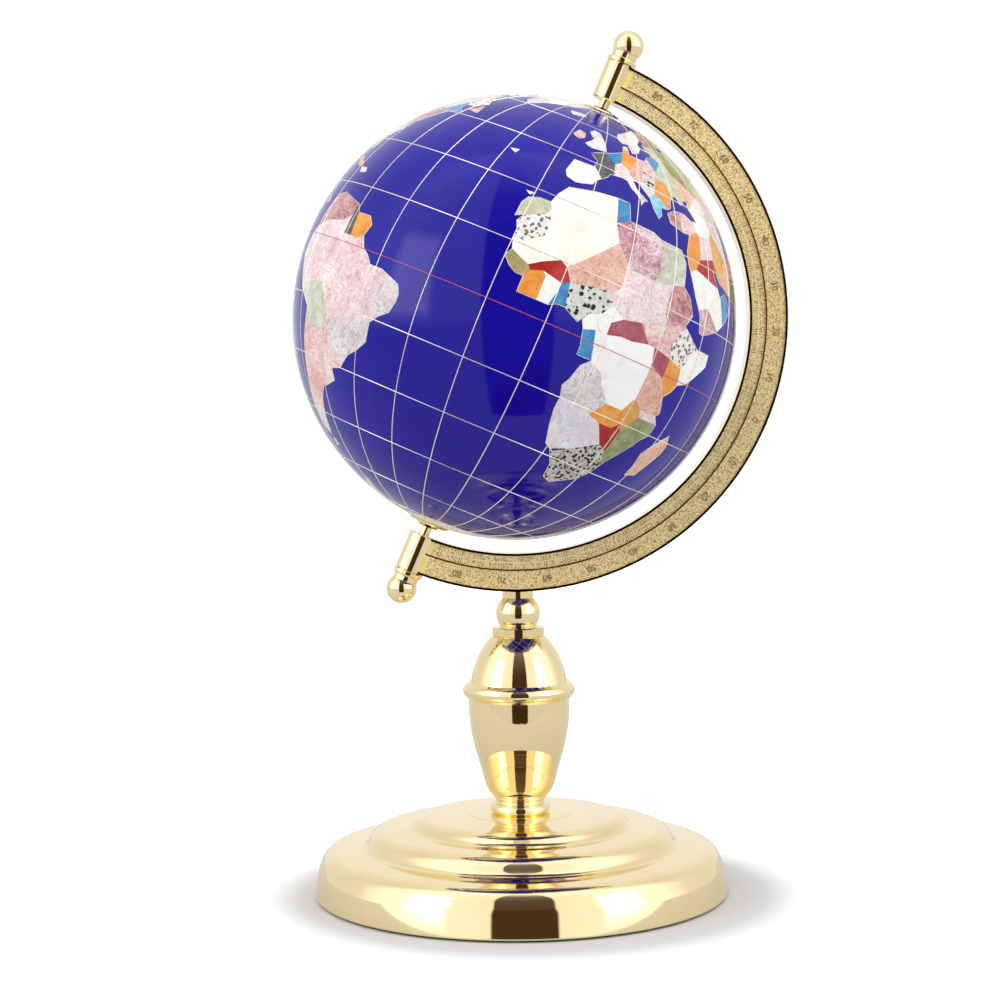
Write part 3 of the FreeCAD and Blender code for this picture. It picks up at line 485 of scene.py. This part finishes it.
def stone_material(kind):
    ground, light, dark, pattern, scale = STONES[kind]
    s = Shader("stone_" + kind)
    cloud = s.noise(scale, 5.0, 0.62, 0.6)
    colour = s.mix(s.ramp(cloud, (0.36, 0.0), (0.62, 1.0)), ground, light)
    if pattern == "vein":
        web = s.noise(scale * 1.1, 6.0, 0.7, 2.4)
        ridge = s.maths("ABSOLUTE", s.maths("SUBTRACT", web, 0.5))
        colour = s.mix(s.ramp(ridge, (0.004, 0.85), (0.035, 0.0)), colour, dark)
        pale = s.noise(scale * 0.7, 6.0, 0.7, 3.0)
        pale_ridge = s.maths("ABSOLUTE", s.maths("SUBTRACT", pale, 0.5))
        colour = s.mix(s.ramp(pale_ridge, (0.004, 0.7), (0.02, 0.0)), colour, (0.92, 0.86, 0.82))
    elif pattern == "nacre":
        swirl = s.noise(scale, 4.0, 0.6, 4.0)
        colour = s.mix(s.ramp(swirl, (0.40, 0.65), (0.50, 0.0), (0.60, 0.4)), colour, dark)
        blush = s.noise(scale * 0.8, 2.0, 0.5, 1.0)
        colour = s.mix(s.ramp(blush, (0.5, 0.0), (0.7, 0.5)), colour, (0.86, 0.66, 0.66))
    elif pattern == "speck":
        grit = s.noise(scale * 3, 4.0, 0.75)
        colour = s.mix(s.ramp(grit, (0.34, 0.9), (0.48, 0.0)), colour, dark)
        spark = s.noise(scale * 2, 3.0, 0.7, vector=s.place(1.7))
        colour = s.mix(s.ramp(spark, (0.56, 0.0), (0.70, 0.8)), colour, light)
    elif pattern == "spots":
        wobble = s.add("ShaderNodeTexNoise", {"Scale": scale * 1.3, "Vector": s.place()}).outputs["Color"]
        nudge = s.add("ShaderNodeVectorMath", {0: wobble, "Scale": 0.0009}, operation="SCALE").outputs[0]
        shifted = s.add("ShaderNodeVectorMath", {0: nudge, 1: s.place()}, operation="ADD").outputs[0]
        spots = s.cells(scale, vector=shifted)
        pick = s.cells(scale, output="Color", vector=shifted)
        chosen = s.maths("GREATER_THAN", pick, 0.22 if kind == "leopard" else 0.32)
        blot = s.maths("MULTIPLY", s.ramp(spots, (0.40, 1.0), (0.48, 0.0)), chosen)
        colour = s.mix(blot, colour, dark)
    else:
        shade = s.noise(scale * 2.3, 4.0, 0.65, 1.2)
        colour = s.mix(s.ramp(shade, (0.32, 0.5), (0.46, 0.0)), colour, dark)
    return s.set(Base_Color=colour, Roughness=0.10, Specular_IOR_Level=0.28)


def simple_material(name, colour, second, scale, roughness, metallic=0.0, bump=0.0):
    """Two close tones mottled by noise, with a little height."""
    s = Shader(name)
    mottle = s.noise(scale, 4.0, 0.6)
    tone = s.mix(s.ramp(mottle, (0.35, 0.0), (0.65, 1.0)), colour, second)
    rough = s.ramp(s.noise(scale * 2, 3.0), (0.3, roughness * 0.8), (0.7, min(1.0, roughness * 1.2)))
    if bump:
        s.bump(s.noise(scale * 3, 3.0), bump)
    return s.set(Base_Color=tone, Metallic=metallic, Roughness=rough)


# ---------------------------------------------------------------- stones on the ball

MAP_STEP = 2.5              # spacing of the mesh on the ball, in degrees
WALL_REACH = 40.0           # half the length at which an endless joint between two cells is cut off
STONE_TOP = GLOBE_R
STONE_FOOT = GLOBE_R - 1.2 * MM
JOINT_W = 0.07 * MM         # width and depth of the chamfer round each stone
JOINT_D = 0.05 * MM


def corners_of(text):
    """Corners as (longitude, latitude)."""
    return [tuple(float(n) for n in pair.split(",")) for pair in text.split()]


def subdivided(start, end):
    """Points from start up to, but not including, end."""
    length = math.dist(start, end)
    count = max(1, math.ceil(length / MAP_STEP))
    return [Vector((start[0] + (end[0] - start[0]) * i / count, start[1] + (end[1] - start[1]) * i / count))
            for i in range(count)]


def to_plane(point, polar):
    """Flat map on which a land is cut: longitude and latitude, or for a polar land a map round the pole."""
    if not polar:
        return point
    reach = 90 + point[1]
    turn = math.radians(point[0])
    return (reach * math.cos(turn), reach * math.sin(turn))


def from_plane(point, polar):
    if not polar:
        return point[0], point[1]
    return math.degrees(math.atan2(point[1], point[0])), math.hypot(point[0], point[1]) - 90


def inside(point, polygon):
    """Whether the edges passing above the point are odd in number, which puts it in the polygon."""
    crossings = 0
    for a, b in zip(polygon, polygon[1:] + polygon[:1]):
        if (a.x > point.x) != (b.x > point.x):
            crossings += a.y + (b.y - a.y) * (point.x - a.x) / (b.x - a.x) > point.y
    return crossings % 2 == 1


def cell_walls(seeds, reach):
    """Straight joints between neighbouring stones: the stretches of each bisector nearest to its own pair."""
    walls = []
    for i, first in enumerate(seeds):
        for j in range(i + 1, len(seeds)):
            second = seeds[j]
            middle = (first + second) / 2
            along = Vector((first.y - second.y, second.x - first.x)).normalized()
            low, high = -reach, reach
            for k, other in enumerate(seeds):
                if k in (i, j):
                    continue
                away = other - first
                rate = away.dot(along)
                room = away.dot((other + first) / 2 - middle)
                if abs(rate) < 1e-9:
                    if room < 0:
                        low, high = 1.0, -1.0
                elif rate > 0:
                    high = min(high, room / rate)
                else:
                    low = max(low, room / rate)
            if high - low > 0.05:
                walls.append((middle + along * low, middle + along * high))
    return walls


def cut_land(polygons, seeds=(), polar=False):
    """Triangles of each stone as lists of plane points: one list for each polygon, or for each seed."""
    points = []
    edges = []

    def add_run(run, closed):
        ids = list(range(len(points), len(points) + len(run)))
        points.extend(run)
        edges.extend(zip(ids, ids[1:]))
        if closed:
            edges.append((ids[-1], ids[0]))

    flat = [[Vector(to_plane(c, polar)) for c in polygon] for polygon in polygons]
    for polygon in flat:
        run = []
        for start, end in zip(polygon, polygon[1:] + polygon[:1]):
            run += subdivided(start, end)
        add_run(run, True)
    everything = [c for polygon in flat for c in polygon]
    low = [min(c[i] for c in everything) for i in (0, 1)]
    high = [max(c[i] for c in everything) for i in (0, 1)]
    for start, end in cell_walls(seeds, WALL_REACH):
        add_run(subdivided(start, end) + [end], False)
    row = low[1]
    while row < high[1]:
        column = low[0] + random.random()
        while column < high[0]:
            points.append(Vector((column, row)))
            column += MAP_STEP
        row += MAP_STEP
    verts, _, tris, *_ = delaunay_2d_cdt(points, edges, [], 0, 0.01, False)
    stones = [[] for _ in (seeds or polygons)]
    for tri in tris:
        middle = sum((verts[i] for i in tri), Vector((0, 0))) / len(tri)
        holders = [n for n, polygon in enumerate(flat) if inside(middle, polygon)]
        if not holders:
            continue
        owner = holders[0]
        if seeds:
            owner = min(range(len(seeds)), key=lambda n: (seeds[n] - middle).length_squared)
        stones[owner].append(tri)
    return verts, stones


def solid_stone(verts, tris, polar, build, slot):
    """One stone: crown on the ball, a fine chamfer round it, walls and a foot, appended to build."""
    directions = {}
    for tri in tris:
        for i in tri:
            if i not in directions:
                longitude, latitude = from_plane(verts[i], polar)
                directions[i] = (sphere_point(longitude, latitude, 1.0) - CENTRE).normalized()
    oriented = [(a, c, b) if polar else (a, b, c) for a, b, c in tris]
    used = {(t[i], t[(i + 1) % 3]) for t in oriented for i in range(3)}
    rim = [(a, b) for a, b in used if (b, a) not in used]
    inward = {i: Vector() for edge in rim for i in edge}
    for a, b in rim:
        across = directions[a].cross(directions[b] - directions[a]).normalized()
        inward[a] += across
        inward[b] += across
    coords, polys, slots = build
    crown, shoulder, foot = {}, {}, {}
    for i, way in directions.items():
        top = way * STONE_TOP
        if i in inward:
            step = inward[i].normalized() if inward[i].length > 1e-6 else Vector()
            crown[i] = len(coords)
            coords.append(CENTRE + (top + step * JOINT_W).normalized() * STONE_TOP)
            shoulder[i] = len(coords)
            coords.append(CENTRE + way * (STONE_TOP - JOINT_D))
        else:
            crown[i] = len(coords)
            coords.append(CENTRE + top)
        foot[i] = len(coords)
        coords.append(CENTRE + way * STONE_FOOT)
    made = []
    for a, b, c in oriented:
        made.append((crown[a], crown[b], crown[c]))
        made.append((foot[a], foot[c], foot[b]))
    for a, b in rim:
        made.append((crown[b], crown[a], shoulder[a], shoulder[b]))
        made.append((shoulder[b], shoulder[a], foot[a], foot[b]))
    polys += made
    slots += [slot] * len(made)


stone_materials = {}


def land_piece(name, node, kinds, verts, stones, polar=False):
    build = ([], [], [])
    order = sorted(set(kinds))
    for kind, tris in zip(kinds, stones):
        if tris:
            solid_stone(verts, tris, polar, build, order.index(kind))
    coords, polys, slots = build
    mesh = bpy.data.meshes.new(name)
    mesh.from_pydata(coords, [], polys)
    for kind in order:
        if kind not in stone_materials:
            stone_materials[kind] = stone_material(kind)
        mesh.materials.append(stone_materials[kind])
    mesh.polygons.foreach_set("material_index", slots)
    mesh.shade_smooth()
    mesh.set_sharp_from_angle(angle=math.radians(20))
    make_object(name, mesh, "globe", (node,))


def land_from_stones(name, node, stones):
    polygons = [corners_of(text) for _, text in stones]
    verts, cut = cut_land(polygons)
    land_piece(name, node, [kind for kind, _ in stones], verts, cut)


def land_from_cells(name, node, outline, cells, polar=False):
    words = cells.split()
    kinds = words[0::2]
    seeds = [Vector(to_plane(corners_of(place)[0], polar)) for place in words[1::2]]
    verts, cut = cut_land([corners_of(outline)], seeds, polar)
    land_piece(name, node, kinds, verts, cut, polar)


def coast_runs(loops):
    """Fine points along each coast."""
    return [[point for start, end in zip(loop, loop[1:] + loop[:1]) for point in subdivided(start, end)]
            for loop in loops]


def outer_loop(stones):
    """Coast of a land made of stones that share corners: the edges that only one stone has."""
    edges = set()
    for _, text in stones:
        corners = corners_of(text)
        edges |= set(zip(corners, corners[1:] + corners[:1]))
    follow = {a: b for a, b in edges if (b, a) not in edges}
    start = min(follow)
    loop = [start]
    here = follow[start]
    while here != start and len(loop) < len(follow) + 1:
        loop.append(here)
        here = follow[here]
    return loop


def build_globe():
    land_from_stones("africa_stones", "stone_africa", AFRICA)
    land_from_stones("south_america_stones", "stone_south_america", SOUTH_AMERICA)
    land_from_stones("island_stones", "stone_islands", ISLANDS)
    land_from_cells("north_america_stones", "stone_north_america", NORTH_AMERICA, NORTH_AMERICA_CELLS)
    land_from_cells("greenland_stones", "stone_greenland", GREENLAND, GREENLAND_CELLS)
    land_from_cells("eurasia_stones", "stone_eurasia", EURASIA, EURASIA_CELLS)
    land_from_cells("australia_stones", "stone_australia", AUSTRALIA, AUSTRALIA_CELLS)
    land_from_cells("antarctica_stones", "stone_antarctica", ANTARCTICA, ANTARCTICA_CELLS, polar=True)

    loops = [outer_loop(AFRICA), outer_loop(SOUTH_AMERICA)]
    loops += [corners_of(text) for text in (NORTH_AMERICA, GREENLAND, EURASIA, AUSTRALIA)]
    loops += [corners_of(text) for _, text in ISLANDS]
    line_piece("coast_lines", coast_runs(loops), COAST_R, COAST_SUNK, wire_gold, (), True)

    build_graticule()
    build_ocean()


def line_piece(name, runs, radius, sunk, material, replaced, closed):
    """Round wires let into the ball along runs of (longitude, latitude)."""
    curve = bpy.data.curves.new(name, "CURVE")
    curve.dimensions = "3D"
    curve.bevel_depth = radius
    curve.bevel_resolution = 1
    curve.use_fill_caps = True
    for run in runs:
        spline = curve.splines.new("POLY")
        spline.points.add(len(run) - 1)
        for point, (longitude, latitude) in zip(spline.points, run):
            point.co = (*sphere_point(longitude, latitude, GLOBE_R - sunk), 1.0)
        spline.use_cyclic_u = closed
    curve.materials.append(material)
    make_object(name, curve, "globe", replaced)


def build_graticule():
    around = range(0, 360, 3)
    up = [-WIRE_END + 2 * WIRE_END * i / 84 for i in range(85)]
    meridians = [[(east, north) for north in up] for east in range(0, 360, GRATICULE_STEP)]
    parallels = [[(east, north) for east in around] for north in range(-75, 90, GRATICULE_STEP) if north]
    line_piece("meridian_lines", meridians, WIRE_R, WIRE_SUNK, wire_gold,
               ("meridian_wires",), False)
    line_piece("parallel_lines", parallels, WIRE_R, WIRE_SUNK, wire_gold,
               ("parallel_wires",), True)
    line_piece("equator_line", [[(east, 0) for east in around]], EQUATOR_R, EQUATOR_SUNK, equator_red,
               ("equator_wire",), True)


def build_ocean():
    """Glossy ball surface, open under the pole discs, with the resin's thickness turned in at the edges."""
    top = GLOBE_R - JOINT_D
    under = GLOBE_R - RESIN_T
    rows = 96
    columns = 192
    coords = []
    for radius, order in ((top, range(rows + 1)), (under, range(rows, -1, -1))):
        for row in order:
            latitude = -OCEAN_END + 2 * OCEAN_END * row / rows
            coords += [sphere_point(360 * c / columns, latitude, radius) for c in range(columns)]
    rings = 2 * (rows + 1)
    polys = []
    for ring in range(rings):
        after = (ring + 1) % rings
        for c in range(columns):
            d = (c + 1) % columns
            polys.append((ring * columns + c, ring * columns + d, after * columns + d, after * columns + c))
    mesh = bpy.data.meshes.new("ocean")
    mesh.from_pydata(coords, [], polys)
    mesh.shade_smooth()
    mesh.set_sharp_from_angle(angle=math.radians(30))
    mesh.materials.append(ocean_material())
    make_object("ocean", mesh, "globe", ("ocean_resin",))


# ---------------------------------------------------------------- the stand


def rounded(corners):
    """Closed outline in (radius, height), each corner (r, z, reach) eased over its reach along both sides."""
    outline = []
    count = len(corners)
    for n, (r, z, reach) in enumerate(corners):
        here = Vector((r, z))
        before = Vector(corners[n - 1][:2]) - here
        after = Vector(corners[(n + 1) % count][:2]) - here
        if reach == 0:
            outline.append(here)
            continue
        start = here + before.normalized() * min(reach, before.length * 0.49)
        end = here + after.normalized() * min(reach, after.length * 0.49)
        for t in (i / 8 for i in range(9)):
            outline.append(start * (1 - t) ** 2 + here * 2 * t * (1 - t) + end * t ** 2)
    return outline


def lathe(name, corners, replaced, material):
    """Closed ring of revolution about the stand's upright axis, from (radius, height, reach) in mm."""
    columns = 240
    outline = rounded(corners)
    coords = []
    for c in range(columns):
        turn = 2 * math.pi * c / columns
        coords += [(p.x * MM * math.cos(turn), p.x * MM * math.sin(turn), p.y * MM) for p in outline]
    size = len(outline)
    polys = []
    for c in range(columns):
        d = (c + 1) % columns
        for i in range(size):
            j = (i + 1) % size
            polys.append((c * size + j, d * size + j, d * size + i, c * size + i))
    mesh = bpy.data.meshes.new(name)
    mesh.from_pydata(coords, [], polys)
    mesh.shade_smooth()
    mesh.set_sharp_from_angle(angle=math.radians(25))
    mesh.materials.append(material)
    make_object(name, mesh, "stand", replaced)


def build_base():
    lathe("base_cover", [
        (3.3, 27.5, 0), (17.2, 27.5, 0.4), (17.8, 27.1, 0.4), (34.6, 26.6, 3.6), (37.5, 23.1, 1.6),
        (50.2, 22.4, 4.0), (53.3, 16.9, 2.0), (66.8, 15.7, 4.2), (69.3, 9.4, 0.9), (70.6, 0.9, 0.25),
        (70.3, 0.6, 0.1), (69.0, 0.6, 0), (68.0, 9.0, 0), (64.4, 13.9, 0), (52.2, 14.9, 0), (48.2, 20.6, 0),
        (36.6, 21.3, 0), (33.4, 25.1, 0), (17.0, 25.65, 0), (3.3, 25.65, 0)],
        ("base_shell",), polished)


def build_scale():
    """Raised degree numerals every ten degrees on both faces of the arm."""
    coords = []
    polys = []
    low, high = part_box("meridian_arm")
    half = (high.y - low.y) / 2
    for value in range(-80, 90, 10):
        letter = bpy.data.curves.new("numeral", "FONT")
        letter.body = str(abs(value))
        letter.size = NUMERAL_H
        letter.extrude = NUMERAL_T
        letter.align_x = "CENTER"
        letter.align_y = "CENTER"
        letter.resolution_u = 4
        holder = bpy.data.objects.new("numeral", letter)
        bpy.context.scene.collection.objects.link(holder)
        solid = holder.evaluated_get(bpy.context.evaluated_depsgraph_get())
        shape = bpy.data.meshes.new_from_object(solid)
        for side in (-1, 1):
            turn = math.radians(value) - TILT
            up = Vector((math.cos(turn), 0, math.sin(turn)))
            place = CENTRE + up * NUMERAL_R * MM
            out = Vector((0, side, 0))
            across = up.cross(out)
            start = len(coords)
            base = place + out * (half - NUMERAL_SUNK)
            coords += [base + across * v.co.x + up * v.co.y + out * v.co.z for v in shape.vertices]
            polys += [tuple(start + i for i in face.vertices) for face in shape.polygons]
        bpy.data.objects.remove(holder)
    mesh = bpy.data.meshes.new("arm_numerals")
    mesh.from_pydata(coords, [], polys)
    mesh.materials.append(gold("numeral_gold", (0.92, 0.76, 0.42), (0.82, 0.64, 0.34), 0.3))
    make_object("arm_numerals", mesh, "stand")


# ---------------------------------------------------------------- finish on the CAD nodes

wire_gold = gold("wire_gold", (0.97, 0.94, 0.87), (0.90, 0.84, 0.74), 0.3)
equator_red = simple_material("equator_red", (0.42, 0.03, 0.12), (0.58, 0.12, 0.26), 900.0, 0.3)


def finish_nodes():
    """A material for every CAD node, by its slot."""
    finishes = {
        "polished_gold": polished,
        "sandblasted_gold": arm_material(),
        "pin_gold": polished,
        "wire_gold": wire_gold,
        "equator_red": equator_red,
        "inlaid_stone": stone_materials["milk"],
        "ocean_resin": bpy.data.materials["ocean_blue"],
        "cast_weight": simple_material("cast_weight", (0.03, 0.03, 0.032), (0.07, 0.07, 0.07), 200.0, 0.6,
                                       0.2, 0.2 * MM),
        "felt": simple_material("felt", (0.015, 0.06, 0.035), (0.03, 0.10, 0.06), 1800.0, 0.95,
                                0.0, 0.15 * MM),
        "steel": simple_material("steel", (0.55, 0.55, 0.57), (0.66, 0.66, 0.66), 500.0, 0.3, 1.0),
        "bushing_plastic": simple_material("bushing", (0.75, 0.74, 0.70), (0.82, 0.80, 0.76), 300.0, 0.4),
        "core_plastic": simple_material("core", (0.10, 0.10, 0.12), (0.14, 0.14, 0.16), 250.0, 0.5),
    }
    for part in frame["record"]["subparts"]:
        material = finishes.get(part["material_slot"])
        for slot in nodes[part["node"]].material_slots:
            slot.link = "OBJECT"
            slot.material = material


# ---------------------------------------------------------------- studio


FLOOR_FRONT = -0.20         # the white table ends here, in front of the globe


def floor():
    """White table with a soft contact shadow under the base. Only the camera sees the table's glow."""
    side = 6.0
    mesh = bpy.data.meshes.new("floor")
    corners = [(-side, FLOOR_FRONT, 0), (side, FLOOR_FRONT, 0), (side, side, 0), (-side, side, 0)]
    mesh.from_pydata(corners, [], [(0, 1, 2, 3)])
    s = Shader("floor_white")
    grain = s.noise(8.0, 2.0)
    seen = s.add("ShaderNodeLightPath").outputs["Is Camera Ray"]
    away = s.add("ShaderNodeVectorMath", {0: s.place(), 1: (0.0045, -0.003, 0.0)}, operation="SUBTRACT")
    reach = s.add("ShaderNodeVectorMath", {0: away.outputs[0]}, operation="LENGTH").outputs["Value"]
    # Soft contact shadow, painted by distance from the base's middle: the stops are in units of 100 mm.
    open_floor = s.ramp(s.maths("MULTIPLY", reach, 10.0), (0.72, 0.0), (0.79, 0.06), (0.88, 0.5), (1.02, 1.0))
    glow = s.maths("MULTIPLY", s.maths("MULTIPLY", seen, 0.55), open_floor)
    s.set(Base_Color=s.mix(grain, (0.65, 0.65, 0.65), (0.67, 0.67, 0.67)), Roughness=0.9,
          Specular_IOR_Level=0.0, Emission_Color=(1.0, 1.0, 1.0), Emission_Strength=glow)
    mesh.materials.append(s.material)
    piece = bpy.data.objects.new("floor", mesh)
    bpy.context.scene.collection.objects.link(piece)
    piece.location.z = cad_low.z - 0.0002


def studio():
    """White room: bright soft boxes at both sides of the camera, a dark gap between them, a greyer back."""
    world = bpy.data.worlds.new("studio")
    bpy.context.scene.world = world
    world.use_nodes = True
    world.node_tree.nodes.clear()
    n = Nodes(world.node_tree)

    def steps(value, first, last, *stops):
        """Brightness in straight stretches over value, with the stops' places between first and last."""
        share = n.maths("DIVIDE", n.maths("SUBTRACT", value, first), last - first)
        return n.ramp(share, *[((place - first) / (last - first), grey) for place, grey in stops])

    way = n.add("ShaderNodeTexCoord").outputs["Generated"]
    x, y, z = n.add("ShaderNodeSeparateXYZ", {0: way}).outputs
    round_from_front = n.maths("ARCTAN2", x, n.maths("MULTIPLY", y, -1.0))
    around = n.maths("MULTIPLY", n.maths("ABSOLUTE", round_from_front), 180 / math.pi)
    height = n.maths("MULTIPLY", n.maths("ARCSINE", z), 180 / math.pi)
    wall = steps(around, 0, 180, (0, 1.05), (40, 1.12), (70, 1.5), (84, 1.4), (106, 0.88), (125, 0.82),
                 (180, 0.95))
    box_across = steps(around, 0, 180, (43, 0.0), (47, 1.0), (65, 1.0), (71, 0.0))
    box_up = steps(height, -90, 90, (0, 0.0), (4, 1.0), (34, 1.0), (40, 0.0))
    top = steps(height, -90, 90, (48, 0.0), (72, 1.0))
    below = steps(height, -90, 90, (-4, 1.0), (-1, 0.0))
    box = n.maths("MULTIPLY", box_across, box_up)
    level = n.maths("ADD", wall, n.maths("MULTIPLY", box, 2.1))
    level = n.maths("ADD", level, n.maths("MULTIPLY", top, 0.12))
    level = n.add("ShaderNodeMix", {0: below, 2: level, 3: 0.75}, data_type="FLOAT").outputs[0]
    gap_across = steps(around, 0, 180, (17.6, 1.0), (18.6, 0.0))
    gap_up = steps(height, -90, 90, (-70, 1.0), (22, 1.0), (60, 0.86), (84, 0.0))
    tint = n.mix(n.maths("MULTIPLY", gap_across, gap_up), (1.0, 1.0, 1.0), (0.060, 0.035, 0.018))
    seen = n.add("ShaderNodeLightPath").outputs["Is Camera Ray"]
    strength = n.add("ShaderNodeMix", {0: seen, 2: level, 3: 1.0}, data_type="FLOAT").outputs[0]
    colour = n.mix(seen, tint, (1.0, 1.0, 1.0))
    back = n.add("ShaderNodeBackground", {"Color": colour, "Strength": strength})
    n.add("ShaderNodeOutputWorld", {"Surface": back.outputs[0]})


def soft_light(name, place, target, size, energy):
    lamp = bpy.data.lights.new(name, "AREA")
    lamp.shape = "RECTANGLE"
    lamp.size, lamp.size_y = size
    lamp.energy = energy
    holder = bpy.data.objects.new(name, lamp)
    bpy.context.scene.collection.objects.link(holder)
    holder.visible_glossy = False
    holder.location = place
    holder.rotation_euler = (Vector(target) - Vector(place)).to_track_quat("-Z", "Y").to_euler()


def camera():
    """Camera at the photo's angle."""
    place = Vector((-0.0225, -0.748, 0.1763))
    yaw, pitch, roll = (math.radians(a) for a in (1.29, 3.176, -0.726))
    forward = Vector((math.sin(yaw), math.cos(yaw), 0))
    right = Vector((math.cos(yaw), -math.sin(yaw), 0))
    up = Vector((0, 0, 1))
    look = forward * math.cos(pitch) - up * math.sin(pitch)
    over = up * math.cos(pitch) + forward * math.sin(pitch)
    side = right * math.cos(roll) + over * math.sin(roll)
    over = over * math.cos(roll) - right * math.sin(roll)
    data = bpy.data.cameras.new("camera")
    data.lens = 79.13
    data.sensor_width = 36.0
    holder = bpy.data.objects.new("camera", data)
    bpy.context.scene.collection.objects.link(holder)
    rotation = Matrix((side, over, -look)).transposed()
    holder.matrix_world = Matrix.Translation(place) @ rotation.to_4x4()
    bpy.context.scene.camera = holder


build_globe()
build_base()
build_scale()
finish_nodes()
floor()
studio()
soft_light("overhead", (-0.3, -1.1, 1.0), (0, 0, 0.15), (0.5, 0.5), 3.2)
camera()
bpy.context.scene.view_settings.view_transform = "Standard"
